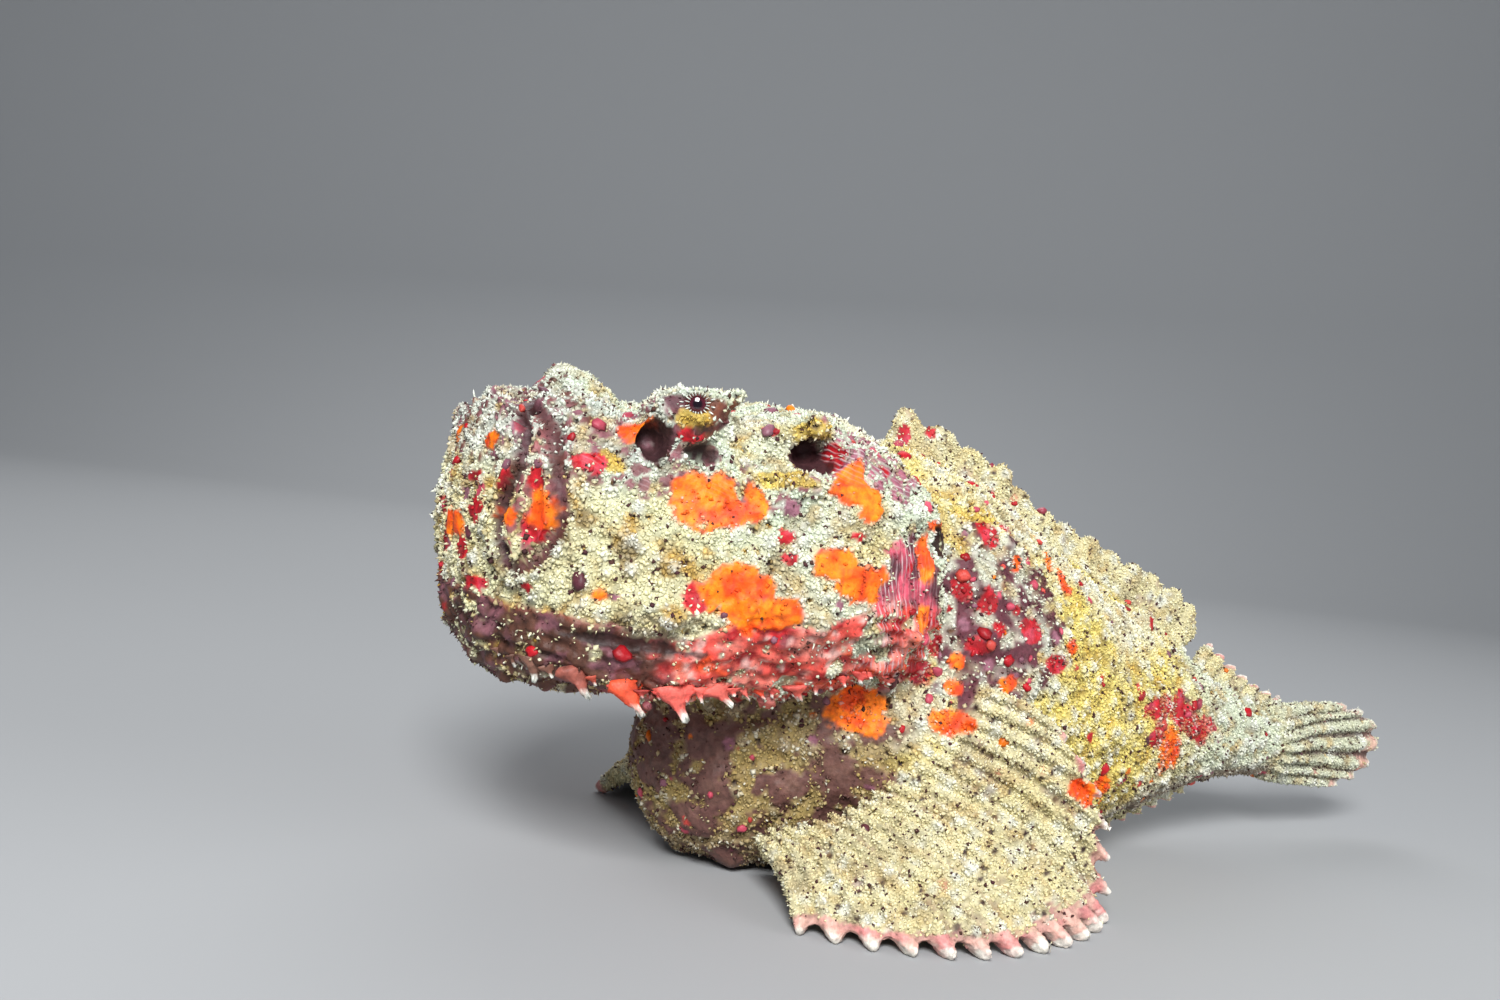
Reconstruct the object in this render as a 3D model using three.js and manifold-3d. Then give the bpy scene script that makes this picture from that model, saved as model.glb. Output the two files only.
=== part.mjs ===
// A life-size reef stonefish lying on its belly with its heavy head raised.
// Millimetres. +Z is up, the head points to -X, and the fish's left side faces -Y.
// The origin is the middle of the flat of the belly, on the surface that the fish rests on.
// The head is a broad loft, and the trunk is a second loft that begins under it as the breast,
// so that the gill covers stand proud of the shoulders and overhang the throat.
import * as THREE from "three";
import { mergeVertices } from "three/addons/utils/BufferGeometryUtils.js";
import Module from "manifold-3d";

const wasm = await Module();
wasm.setup();

// Driving dimensions
const GAP = 0.35; // left between touching solids
const GROWTH = 0.5; // how far a cutter stands out from the surface it copies
const JAW_FRONT = -138.5; // foremost point of the lower jaw
const JAW_FRONT_Z = 84;
const FACE_SIDE_POWER = 1.65; // roundness of the face seen from above
const FACE_TOP_POWER = 2.4; // roundness of the face seen from the side
const GILL_END = -34; // hind edge of the gill covers
const GILL_EDGE = 6; // rounding of that edge
const GILL_DRAW = 0.93; // how much the rounding narrows the head
const NAPE_SLANT = 13; // how far the top of the head ends in front of the gill covers
const NAPE_ALONG = [-75, GILL_END]; // range of x over which that slant grows
const NAPE_UP = [86, 112]; // range of z over which that slant grows
const TAIL_START = 70; // cut between trunk and tail
const TAIL_END = 124; // root of the tail fin
const EYE = [-100, -38.5, 109.5];
const EYE_RADIUS = 5;
const EYE_AXIS = [-0.35, -0.8, 0.45];
const LID_OUT = 2.2; // how far the lid stands in front of the eye's middle
const LID_ROLL = 1.6; // radius of the rolled lid
const PAPILLAE = 8; // short spines round each lid
const PAPILLA_LENGTHS = [1.8, 3.4];
const PAPILLA_RADIUS = 1.3;
const TURRET = [-98.5, -32.5, 102];
const TURRET_RADII = [13, 10.5, 13.5];
const NOSTRIL = [-112, -0.5]; // x, and the turn from the top of the head
const NOSTRIL_RADIUS = 2.1;
const NOSTRIL_ROLL = 1; // radius of its raised edge
const TASSEL_STEP = 4.7; // spacing of the flaps along the rim of the jaws
const TASSEL_LENGTHS = [6, 14];
const TASSEL_RADII = [1.3, 2.1];
const WART_RADII = [2.6, 4.4];
const WART_CLEAR_OF_EYE = 17;
const BARE_BACK = 8; // half width of the strip along the fin of the back that carries no warts
const SHOULDER_END = -4; // in front of this, warts grow only above the fins
const SHOULDER_TOP = 62;
const MEMBRANE_REACH = 0.9; // how far the membrane between two rays goes, as a share of them
const PECTORAL_RAYS = 18;
const CAUDAL_RAYS = 12;
const SOFT_RAYS = 7;
const ANAL_RAYS = 8;
const PELVIC_RAYS = 6;
const CAUDAL_RAY_DEPTHS = [7, 3.6];
const CAUDAL_WEB_DEPTHS = [4.5, 2];

// Sections from front to back: x, top, bottom, half width, height of the widest level,
// and how square the section is above and below that level (2 is an ellipse)
const HEAD = [
  [-118, 109, 43, 39, 74, 2.7, 2.8],
  [-100, 107, 43, 47, 77, 3.0, 3.2],
  [-80, 109, 44, 51.5, 79, 3.0, 3.4],
  [-60, 112, 46, 53.5, 80, 2.9, 3.5],
  [-45, 113, 48, 51.5, 79, 2.7, 3.4],
  [-34, 112, 51, 47, 77, 2.6, 3.2],
];
const TRUNK = [
  [-84, 44, 9, 14, 26, 2.0, 2.0],
  [-70, 66, 0, 25, 28, 2.1, 2.3],
  [-50, 96, -1.5, 33, 40, 2.3, 2.6],
  [-34, 107, -1.5, 40, 52, 2.4, 2.8],
  [-20, 105, -1.5, 45, 54, 2.3, 2.8],
  [0, 98, -1.5, 44, 50, 2.1, 2.7],
  [25, 85, -1.5, 36, 44, 1.95, 2.5],
  [50, 74, 5, 27, 38, 1.85, 2.2],
  [75, 62, 12, 19, 34, 1.85, 2.0],
  [100, 47, 17, 13, 31, 1.9, 2.0],
  [124, 39, 18, 9, 28.5, 2.0, 2.0],
];

// Pushes that shape a surface: centre, radii, and the shift at the centre.
// Each is repeated on the other side unless it lies on the middle line.
const HEAD_PUSHES = [
  [[-92, 0, 109], [30, 27, 18], [0, 0, -9]], // saddle between the eyes
  [[-58, 0, 114], [16, 24, 14], [0, 0, -4]], // hollow behind it
  [[-82, -37, 108], [36, 11, 12], [0, -1, 3]], // bony ridge behind the eye
  [[-122, -27, 100], [14, 12, 12], [-2, -2, 3]], // edge of the snout
  [[-104, -47, 92], [20, 9, 9], [0, 5, -1]], // furrow below the eye
  [[-78, -51, 72], [32, 14, 17], [0, -3, 0]], // cheek
  [[-44, -50, 86], [9, 10, 16], [0, 5, 0]], // hollow before the gill cover's edge
  [[-108, -40, 52], [34, 14, 9], [-1, -3, -2]], // rim of the jaw
  [[-99, -42, 96], [20, 12, 12], [0, -2, 2]], // foot of the eye turret
  [[-62, -46, 98], [16, 10, 9], [0, -3, 2]], // swelling behind the hind pit
  [[-118, 0, 104], [9, 12, 8], [1, 0, -3]], // notch of the snout
];
const TRUNK_PUSHES = [
  [[-40, -40, 34], [28, 20, 26], [0, -8, 0]], // root of the pectoral fin
  [[2, -40, 76], [30, 16, 16], [0, 2, -1]], // hollow above the fin
];

// Pits beside each eye: centre and radii
const PITS = [
  [[-74, -45, 104], [6, 6, 6]],
  [[-112, -39, 101], [5, 6, 5]],
];

// Warts: how many, how far apart, the range of x, the widest turn from the top, and the seed
const HEAD_WARTS = { count: 30, apart: 11, from: -114, to: -42, widest: 1.9, seed: 3 };
const CHIN_WARTS = { count: 6, apart: 7, from: -136, to: -124, widest: 2.6, seed: 8 };
const BODY_WARTS = { count: 26, apart: 12, from: -20, to: 116, widest: 2.1, seed: 21 };
const CHIN_BARE = [16, 98]; // chin warts stay within this half width and under this height

// Front view of the mouth from the middle of its top down to its corner: y, z
const GAPE = [[0, 109], [10, 108], [18, 104], [23, 98], [23.5, 92], [21.5, 85], [21, 79], [24, 72]];
const MAXILLA_EDGE = [[0, 100], [12, 103], [21, 105], [28, 101], [32.5, 92], [33.5, 82], [31, 75], [26, 70]];
const CHIN_SIDE = [[30, 62], [34, 52], [36, 34]];
const LIP_RADIUS = 2.3;
const LIP_TOP = 105.5;
const LOWER_JAW_BACK = -113;
const MAXILLA_BACK = -119;

// Spines of the back: x of the root, height over the back, slant of the tip, lean to the side
const SPINES = [
  [-24, 11, 3, 1.5],
  [-13, 9.5, 4, -1],
  [-2, 8.5, 5, 1],
  [7, 10, 5, -1.5],
  [15, 8, 5, 1],
  [23, 6.5, 6, -1],
  [31, 8, 6, 1.5],
  [39, 8.5, 7, -1],
  [47, 8.5, 7, 1],
  [55, 9, 8, -1.5],
  [63, 10.5, 8, 1],
  [71, 10.5, 9, -1],
  [79, 10.5, 9, 1],
];

// Roots and tips of the fins that spread: from the first ray to the last
const PECTORAL_ROOT = [[-23, -41, 51], [-30, -43, 40], [-41, -43, 29], [-54, -37, 18], [-65, -27, 11]];
const PECTORAL_TIPS = [
  [-2, -54, 42],
  [9, -57, 29],
  [14, -57, 14],
  [14, -59, 1],
  [3, -68, 0],
  [-14, -75, 0],
  [-35, -77, 0],
  [-55, -70, 0],
  [-70, -56, 0],
];
const PELVIC_ROOT = [[-14, -22, 7], [8, -20, 7]];
const PELVIC_TIPS = [[-8, -41, 0.3], [3, -46, 0], [15, -46, 0], [26, -40, 0.5], [32, -29, 2]];
const CAUDAL_TIPS = [[158, 0, 40], [170, 0, 37], [176, 0, 31], [176, 0, 26], [170, 0, 19], [158, 0, 15]];
const SOFT_ROOT = [[89, 0, 47], [105, 0, 41], [121, 0, 36]];
const SOFT_TIPS = [[97, 0, 58.5], [105, 0, 53], [117, 0, 46.5], [130, 0, 42]];
const ANAL_ROOT = [[47, 0, 9], [66, 0, 14], [87, 0, 19]];
const ANAL_TIPS = [[54, 0, 3.5], [62, 0, 3], [77, 0, 7], [94, 0, 13]];

const SPINE_ROOT = 4; // depth of the spiny fin's foot under the back
const SPINE_DEPTHS = [8, 3.4]; // thickness of a sheathed spine at its root and tip
const WEB_DEPTHS = [4, 2]; // thickness of the membrane between two spines
const WEB_HEIGHT = 0.62; // its height, as a share of a spine's

const vector = (values) => new THREE.Vector3(...values);
const clamp01 = (t) => Math.min(1, Math.max(0, t));
const smooth = (t) => clamp01(t) ** 2 * (3 - 2 * clamp01(t));
const ramp = (value, [from, to]) => smooth((value - from) / (to - from));
const mix = (a, b, t) => a + (b - a) * t;

function seeded(seed) {
  let state = seed;
  return () => {
    state = (state * 1664525 + 1013904223) >>> 0;
    return state / 4294967296;
  };
}

// A column of a section table at x, through its stations as a smooth curve
function column(table, k, x) {
  const last = table.length - 1;
  if (x <= table[0][0]) return table[0][k];
  if (x >= table[last][0]) return table[last][k];
  let i = 0;
  while (x > table[i + 1][0]) i += 1;
  const before = table[Math.max(0, i - 1)];
  const after = table[Math.min(last, i + 2)];
  const [a, b] = [table[i], table[i + 1]];
  const span = b[0] - a[0];
  const t = (x - a[0]) / span;
  const slopeA = ((b[k] - before[k]) / (b[0] - before[0])) * span;
  const slopeB = ((after[k] - a[k]) / (after[0] - a[0])) * span;
  return (
    (2 * t ** 3 - 3 * t ** 2 + 1) * a[k] +
    (t ** 3 - 2 * t ** 2 + t) * slopeA +
    (3 * t ** 2 - 2 * t ** 3) * b[k] +
    (t ** 3 - t ** 2) * slopeB
  );
}

// Point of a section: angle 0 is the top and a quarter turn is the right side (+Y)
function sectionPoint(table, x, angle, scaleY, scaleZ, centreZ) {
  const [top, bottom, half, level, squareTop, squareBottom] = [1, 2, 3, 4, 5, 6].map((k) =>
    column(table, k, x),
  );
  const up = Math.cos(angle) >= 0;
  const height = up ? top - level : level - bottom;
  const power = up ? squareTop : squareBottom;
  const rise = Math.abs(Math.cos(angle) / height) ** power;
  const spread = Math.abs(Math.sin(angle) / half) ** power;
  const reach = 1 / (rise + spread) ** (1 / power);
  return vector([x, scaleY * reach * Math.sin(angle), centreZ + scaleZ * reach * Math.cos(angle)]);
}

function pushed(point, pushes) {
  const moved = point.clone();
  for (const [centre, radii, shift] of pushes)
    for (const side of centre[1] === 0 ? [1] : [1, -1]) {
      const away = Math.hypot(
        (point.x - centre[0]) / radii[0],
        (point.y - side * centre[1]) / radii[1],
        (point.z - centre[2]) / radii[2],
      );
      if (away >= 1) continue;
      const weight = (1 - away ** 2) ** 2;
      moved.x += weight * shift[0];
      moved.y += weight * side * shift[1];
      moved.z += weight * shift[2];
    }
  return moved;
}

const GILL_TURN = GILL_END - GILL_EDGE;

// Surface of the head. In front of its first section the face closes as a rounded box,
// and the gill covers end in a rounded edge that slants forward towards the nape.
function headPoint(x, angle, close) {
  const face = HEAD[0][0];
  const level = column(HEAD, 4, x);
  let scaleY = close;
  let scaleZ = close;
  if (x < face) {
    const depth = clamp01((face - x) / (face - JAW_FRONT));
    scaleY *= (1 - depth ** FACE_SIDE_POWER) ** (1 / FACE_SIDE_POWER);
    scaleZ *= (1 - depth ** FACE_TOP_POWER) ** (1 / FACE_TOP_POWER);
  }
  if (x > GILL_TURN) {
    const turn = mix(GILL_DRAW, 1, Math.sqrt(1 - clamp01((x - GILL_TURN) / GILL_EDGE) ** 2));
    scaleY *= turn;
    scaleZ *= turn;
  }
  const centreZ = mix(JAW_FRONT_Z, level, x < face ? scaleZ : 1);
  const point = pushed(sectionPoint(HEAD, x, angle, scaleY, scaleZ, centreZ), HEAD_PUSHES);
  point.x -= NAPE_SLANT * ramp(x, NAPE_ALONG) * ramp(point.z, NAPE_UP);
  return point;
}

function trunkPoint(x, angle, close) {
  const level = column(TRUNK, 4, x);
  return pushed(sectionPoint(TRUNK, x, angle, close, close, level), TRUNK_PUSHES);
}

function outwardNormal(pointAt, x, angle) {
  const along = pointAt(x + 0.5, angle, 1).sub(pointAt(x - 0.5, angle, 1));
  const around = pointAt(x, angle + 0.01, 1).sub(pointAt(x, angle - 0.01, 1));
  return around.cross(along).normalize();
}

function indexed(positions, index) {
  return new THREE.BufferGeometry()
    .setAttribute("position", new THREE.Float32BufferAttribute(positions, 3))
    .setIndex(index);
}

// A closed surface through rings of points. Each ring is [x, close]; one with close 0 is a pole.
function loft(rings, around, pointAt) {
  const positions = [];
  const index = [];
  const starts = rings.map(([x, close]) => {
    const start = positions.length / 3;
    for (let j = 0; j < (close === 0 ? 1 : around); j += 1)
      positions.push(...pointAt(x, (j / around) * 2 * Math.PI, close).toArray());
    return start;
  });
  for (let i = 0; i + 1 < rings.length; i += 1)
    for (let j = 0; j < around; j += 1) {
      const next = (j + 1) % around;
      const a = starts[i] + (rings[i][1] === 0 ? 0 : j);
      const b = starts[i] + (rings[i][1] === 0 ? 0 : next);
      const c = starts[i + 1] + (rings[i + 1][1] === 0 ? 0 : j);
      const d = starts[i + 1] + (rings[i + 1][1] === 0 ? 0 : next);
      if (a !== b) index.push(a, b, d);
      if (c !== d) index.push(a, d, c);
    }
  return indexed(positions, index);
}

// A closed fin: a grid of points with a thickness, split into triangles alike on both faces.
// pointAt and thicknessAt take the place along the root and the place from root to tip.
function finSheet(columns, rows, pointAt, thicknessAt) {
  const positions = [];
  const index = [];
  const step = 0.004;
  for (const face of [1, -1])
    for (let i = 0; i <= columns; i += 1)
      for (let j = 0; j <= rows; j += 1) {
        const [u, v] = [i / columns, j / rows];
        const along = pointAt(Math.min(1, u + step), v).sub(pointAt(Math.max(0, u - step), v));
        const out = pointAt(u, Math.min(1, v + step)).sub(pointAt(u, Math.max(0, v - step)));
        const normal = along.cross(out).normalize();
        const point = pointAt(u, v).addScaledVector(normal, (face * thicknessAt(u, v)) / 2);
        positions.push(...point.toArray());
      }
  const back = (columns + 1) * (rows + 1);
  const at = (i, j) => i * (rows + 1) + j;
  for (let i = 0; i < columns; i += 1)
    for (let j = 0; j < rows; j += 1) {
      const [a, b, c, d] = [at(i, j), at(i + 1, j), at(i + 1, j + 1), at(i, j + 1)];
      index.push(a, b, c, a, c, d);
      index.push(back + a, back + c, back + b, back + a, back + d, back + c);
    }
  const wall = (a, b) => index.push(a, back + a, back + b, a, back + b, b);
  for (let i = 0; i < columns; i += 1) {
    wall(at(i, 0), at(i + 1, 0));
    wall(at(i + 1, rows), at(i, rows));
  }
  for (let j = 0; j < rows; j += 1) {
    wall(at(0, j + 1), at(0, j));
    wall(at(columns, j), at(columns, j + 1));
  }
  return indexed(positions, index);
}

// A fin that spreads from a root curve to a curve of ray tips, with its rays raised as ridges.
// lift moves the middle of the fin; the membrane between two rays stops short of their tips.
function rayedFin({ root, tips, rays, rows, lift, rayDepth, membraneDepth }) {
  const rootCurve = new THREE.CatmullRomCurve3(root.map(vector));
  const tipCurve = new THREE.CatmullRomCurve3(tips.map(vector));
  const ridge = (u) => Math.cos(Math.PI * u * (rays - 1)) ** 2;
  const pointAt = (u, v) => {
    const reach = v * mix(MEMBRANE_REACH, 1, ridge(u) ** 0.5);
    const start = rootCurve.getPointAt(clamp01(u));
    const end = tipCurve.getPointAt(clamp01(u));
    const middle = start.clone().lerp(end, 0.5).add(vector(lift));
    return new THREE.QuadraticBezierCurve3(start, middle, end).getPoint(clamp01(reach));
  };
  const thicknessAt = (u, v) =>
    mix(mix(membraneDepth[0], membraneDepth[1], v), mix(rayDepth[0], rayDepth[1], v), ridge(u));
  return solid(finSheet((rays - 1) * 2, rows, pointAt, thicknessAt));
}

function solid(geometry) {
  const bare = geometry.clone();
  bare.deleteAttribute("normal");
  bare.deleteAttribute("uv");
  const merged = mergeVertices(bare, 1e-4);
  const kept = [];
  const index = merged.index.array;
  for (let i = 0; i < index.length; i += 3) {
    const [a, b, c] = index.slice(i, i + 3);
    if (a !== b && b !== c && c !== a) kept.push(a, b, c);
  }
  const make = (triangles) =>
    new wasm.Manifold(
      new wasm.Mesh({
        numProp: 3,
        vertProperties: merged.attributes.position.array,
        triVerts: new Uint32Array(triangles),
      }),
    );
  const made = make(kept);
  if (made.volume() > 0) return made;
  for (let i = 0; i < kept.length; i += 3) [kept[i], kept[i + 1]] = [kept[i + 1], kept[i]];
  return make(kept);
}

// The same closed surface moved outward along its normals, to cut a neighbour clear of it
function grown(geometry) {
  const wider = geometry.clone();
  wider.computeVertexNormals();
  const { position, normal } = wider.attributes;
  const outward = signedVolume(geometry) > 0 ? 1 : -1;
  for (let i = 0; i < position.count; i += 1)
    position.setXYZ(
      i,
      position.getX(i) + outward * GROWTH * normal.getX(i),
      position.getY(i) + outward * GROWTH * normal.getY(i),
      position.getZ(i) + outward * GROWTH * normal.getZ(i),
    );
  return solid(wider);
}

function signedVolume(geometry) {
  const { position } = geometry.attributes;
  const index = geometry.index.array;
  const corner = (i) => new THREE.Vector3().fromBufferAttribute(position, index[i]);
  let sum = 0;
  for (let i = 0; i < index.length; i += 3)
    sum += corner(i).dot(corner(i + 1).cross(corner(i + 2)));
  return sum;
}

// The largest closed surface of a solid, without loose scraps or sealed hollows
function largest(made) {
  return made.decompose().reduce((best, body) => (body.volume() > best.volume() ? body : best));
}

const union = (pieces) => pieces.reduce((sum, piece) => sum.add(piece));
const mirrored = (made) => made.mirror([0, 1, 0]);
const bothSides = (made) => made.add(mirrored(made));

function block(low, high) {
  const size = high.map((value, k) => value - low[k]);
  const middle = high.map((value, k) => (value + low[k]) / 2);
  return solid(new THREE.BoxGeometry(...size).translate(...middle));
}

function ellipsoid(centre, radii, across = 12, down = 8) {
  return solid(new THREE.SphereGeometry(1, across, down).scale(...radii).translate(...centre));
}

// Turns +Z to a direction and moves the origin to a place
function placed(geometry, place, direction) {
  const turn = new THREE.Quaternion().setFromUnitVectors(vector([0, 0, 1]), direction);
  return solid(geometry.applyQuaternion(turn).translate(place.x, place.y, place.z));
}

// A tapered flap or spine: its root is sunk under the surface by a third of its length
function tassel(root, direction, length, radius, sides = 4) {
  const profile = [
    [0, -0.35],
    [1, -0.3],
    [0.65, 0.5],
    [0, 1],
  ].map(([r, z]) => new THREE.Vector2(r * radius, z * length));
  const geometry = new THREE.LatheGeometry(profile, sides).rotateX(Math.PI / 2);
  return placed(geometry, root, direction);
}

function wart(place, direction, radius, height) {
  return placed(new THREE.IcosahedronGeometry(1, 0).scale(radius, radius, height), place, direction);
}

// Warts strewn over one surface, each half sunk in it, where keep lets one grow
function strewnWarts(pointAt, { count, apart, from, to, widest, seed }, keep) {
  const random = seeded(seed);
  const places = [];
  const warts = [];
  for (let tries = 0; tries < 4000 && warts.length < count; tries += 1) {
    const x = mix(from, to, random());
    const turn = widest * (2 * random() - 1);
    const place = pointAt(x, turn, 1);
    if (!keep(place) || places.some((other) => other.distanceTo(place) < apart)) continue;
    places.push(place);
    const radius = mix(WART_RADII[0], WART_RADII[1], random() ** 2);
    warts.push(wart(place, outwardNormal(pointAt, x, turn), radius, radius * mix(0.7, 1, random())));
  }
  return union(warts);
}

const belowFloor = block([-400, -400, -60], [400, 400, 0]);
const onFloor = (made) => largest(made.subtract(belowFloor));

// Outline of the mouth in front view, widened by extra, from one corner over the top to the other
function arch(points, extra) {
  const curve = new THREE.SplineCurve(points.map(([y, z]) => new THREE.Vector2(y, z)));
  const steps = 12;
  const side = [];
  for (let i = 0; i <= steps; i += 1) {
    const tangent = curve.getTangentAt(i / steps);
    side.push(
      curve
        .getPointAt(i / steps)
        .add(new THREE.Vector2(-tangent.y, tangent.x).multiplyScalar(extra)),
    );
  }
  side[0].x = 0;
  const other = side.slice(1).map((p) => new THREE.Vector2(-p.x, p.y));
  return [...other.reverse(), ...side];
}

// A front-view outline carried along X
function facePrism(outline, back) {
  const depth = back - JAW_FRONT + 20;
  const geometry = new THREE.ExtrudeGeometry(new THREE.Shape(outline), {
    depth,
    bevelEnabled: false,
    steps: 1,
  });
  const basis = new THREE.Matrix4().makeBasis(vector([0, 1, 0]), vector([0, 0, 1]), vector([1, 0, 0]));
  return solid(geometry.applyMatrix4(basis).translate(back - depth, 0, 0));
}

// How finely the two lofts are divided, round them and along them
const HEAD_AROUND = 34;
const HEAD_STEP = 6.6;
const TRUNK_AROUND = 28;
const TRUNK_STEP = 7.6;

// Rings of the head: close together on the face, even along the sides, then the closed back
const headRings = [[JAW_FRONT, 0]];
const faceDepth = HEAD[0][0] - JAW_FRONT;
for (const turn of [10, 22, 36, 51, 66, 79])
  headRings.push([HEAD[0][0] - faceDepth * Math.cos((turn * Math.PI) / 180), 1]);
for (let x = HEAD[0][0]; x < GILL_TURN; x += HEAD_STEP) headRings.push([x, 1]);
headRings.push([GILL_TURN, 1], [GILL_END - GILL_EDGE / 3, 1], [GILL_END, 1]);
for (const close of [0.72, 0.4, 0]) headRings.push([GILL_END, close]);

const trunkRings = [[-89, 0]];
for (const x of [-88, -85, -80]) trunkRings.push([x, smooth((x + 92) / 12)]);
for (let x = -74; x < TAIL_END; x += TRUNK_STEP) trunkRings.push([x, 1]);
for (const close of [1, 0.5, 0]) trunkRings.push([TAIL_END, close]);

const headShape = loft(headRings, HEAD_AROUND, headPoint);
const bodyShape = loft(trunkRings, TRUNK_AROUND, trunkPoint);
const headGrown = grown(headShape);
const bodyGrown = grown(bodyShape);

// The turn at which the side of the head passes into its underside
function rimAngle(x) {
  let angle = 0;
  let furthest = -Infinity;
  for (let turn = 0.55 * Math.PI; turn < 0.95 * Math.PI; turn += 0.03) {
    const point = headPoint(x, turn, 1);
    const reach = 0.75 * point.y - point.z;
    if (reach > furthest) {
      furthest = reach;
      angle = turn;
    }
  }
  return angle;
}

// Flaps along the rim of the left side of the jaws and gill covers
function rimTassels(random) {
  const flaps = [];
  for (let x = JAW_FRONT + 3; x < GILL_TURN; x += TASSEL_STEP) {
    const at = x + 0.4 * TASSEL_STEP * random();
    const angle = -rimAngle(at);
    const root = headPoint(at, angle, 1);
    const normal = outwardNormal(headPoint, at, angle);
    const sway = vector([random() - 0.5, 0, random() - 0.5]).multiplyScalar(0.5);
    const direction = normal.multiplyScalar(0.6).add(vector([0, 0, -0.8])).add(sway).normalize();
    const length = mix(...TASSEL_LENGTHS, random() ** 3);
    flaps.push(tassel(root, direction, length, mix(...TASSEL_RADII, random())));
  }
  return flaps;
}

// Eye turret on the left: its bulb, the lid round the eye, and the papillae on the lid
function turret(random) {
  const axis = vector(EYE_AXIS).normalize();
  const eye = vector(EYE);
  const pieces = [ellipsoid(TURRET, TURRET_RADII)];
  const lid = new THREE.TorusGeometry(EYE_RADIUS, LID_ROLL, 5, 12);
  pieces.push(placed(lid, eye.clone().addScaledVector(axis, LID_OUT), axis));
  const across = new THREE.Vector3().crossVectors(axis, vector([0, 0, 1])).normalize();
  const up = new THREE.Vector3().crossVectors(across, axis);
  for (let k = 0; k < PAPILLAE; k += 1) {
    const turn = ((k + 0.6 * random()) / PAPILLAE) * 2 * Math.PI;
    const out = across.clone().multiplyScalar(Math.cos(turn)).addScaledVector(up, Math.sin(turn));
    const root = eye.clone().addScaledVector(axis, LID_OUT).addScaledVector(out, EYE_RADIUS + 0.6);
    const direction = out.addScaledVector(axis, 0.5).normalize();
    pieces.push(tassel(root, direction, mix(...PAPILLA_LENGTHS, random()), PAPILLA_RADIUS));
  }
  return union(pieces);
}

function nostril() {
  const [x, angle] = NOSTRIL;
  const normal = outwardNormal(headPoint, x, angle);
  const ring = new THREE.TorusGeometry(NOSTRIL_RADIUS, NOSTRIL_ROLL, 5, 9);
  return placed(ring, headPoint(x, angle, 1).addScaledVector(normal, NOSTRIL_ROLL / 2), normal);
}

// A lip follows the mouth line over the face, set off to one side of it
function lip(extra) {
  const face = new THREE.Mesh(headShape, new THREE.MeshBasicMaterial({ side: THREE.DoubleSide }));
  const caster = new THREE.Raycaster();
  const points = arch(GAPE, extra).map((p) => {
    caster.set(vector([JAW_FRONT - 20, p.x, Math.min(p.y, LIP_TOP)]), vector([1, 0, 0]));
    return caster.intersectObject(face)[0].point;
  });
  const path = new THREE.CatmullRomCurve3(points);
  const corners = [0, 1, 2, 3, 4].map((k) => (k * 2 * Math.PI) / 5);
  const section = new THREE.Shape(
    corners.map((turn) => new THREE.Vector2(Math.cos(turn), Math.sin(turn)).multiplyScalar(LIP_RADIUS)),
  );
  return solid(new THREE.ExtrudeGeometry(section, { extrudePath: path, steps: 24, bevelEnabled: false }));
}

const fromEye = (place) => Math.hypot(place.x - EYE[0], Math.abs(place.y) + EYE[1], place.z - EYE[2]);
const headWarts = strewnWarts(headPoint, HEAD_WARTS, (place) => fromEye(place) > WART_CLEAR_OF_EYE);
const chinWarts = strewnWarts(
  headPoint,
  CHIN_WARTS,
  (place) => Math.abs(place.y) < CHIN_BARE[0] && place.z < CHIN_BARE[1],
);

const headSolid = union([
  solid(headShape),
  headWarts,
  chinWarts,
  bothSides(turret(seeded(5))),
  bothSides(nostril()),
  lip(LIP_RADIUS),
  lip(-LIP_RADIUS),
]);
const eyeSocket = bothSides(ellipsoid(EYE, [1, 1, 1].map(() => EYE_RADIUS + GAP)));
const pits = bothSides(union(PITS.map(([centre, radii]) => ellipsoid(centre, radii, 8, 6))));

const lowerOutline = (extra) => arch([...GAPE, ...CHIN_SIDE], extra);
const maxillaOutline = (extra) => arch(MAXILLA_EDGE, extra);
const lowerPrism = facePrism(lowerOutline(0), LOWER_JAW_BACK);
const maxillaPrism = facePrism(maxillaOutline(0), MAXILLA_BACK);
const lowerClear = facePrism(lowerOutline(GAP), LOWER_JAW_BACK + GAP);
const maxillaClear = facePrism(maxillaOutline(GAP), MAXILLA_BACK + GAP);
const leftHalf = block([-200, -90, -20], [0, 0, 200]);

const flaps = bothSides(union(rimTassels(seeded(11))));
const fringedHead = headSolid.add(flaps).subtract(bodyGrown);
const parts = {
  head: fringedHead
    .subtract(lowerClear)
    .subtract(maxillaClear)
    .subtract(eyeSocket)
    .subtract(pits),
  maxilla_left: fringedHead.intersect(maxillaPrism).intersect(leftHalf).subtract(lowerClear),
  lower_jaw: fringedHead.intersect(lowerPrism),
};
parts.maxilla_right = mirrored(parts.maxilla_left);
parts.eye_left = ellipsoid(EYE, [1, 1, 1].map(() => EYE_RADIUS));
parts.eye_right = mirrored(parts.eye_left);

const bodyWarts = strewnWarts(trunkPoint, BODY_WARTS, (place) => {
  const overCut = Math.abs(place.x - TAIL_START) < WART_RADII[1];
  const onFlank = place.x > SHOULDER_END || place.z > SHOULDER_TOP;
  return Math.abs(place.y) > BARE_BACK && !overCut && onFlank;
});
const bodySolid = solid(bodyShape).add(bodyWarts.subtract(headGrown));
parts.trunk = bodySolid.subtract(block([TAIL_START, -90, -20], [200, 90, 200]));
parts.tail = bodySolid.intersect(block([TAIL_START + GAP, -90, -20], [200, 90, 200]));

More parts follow.
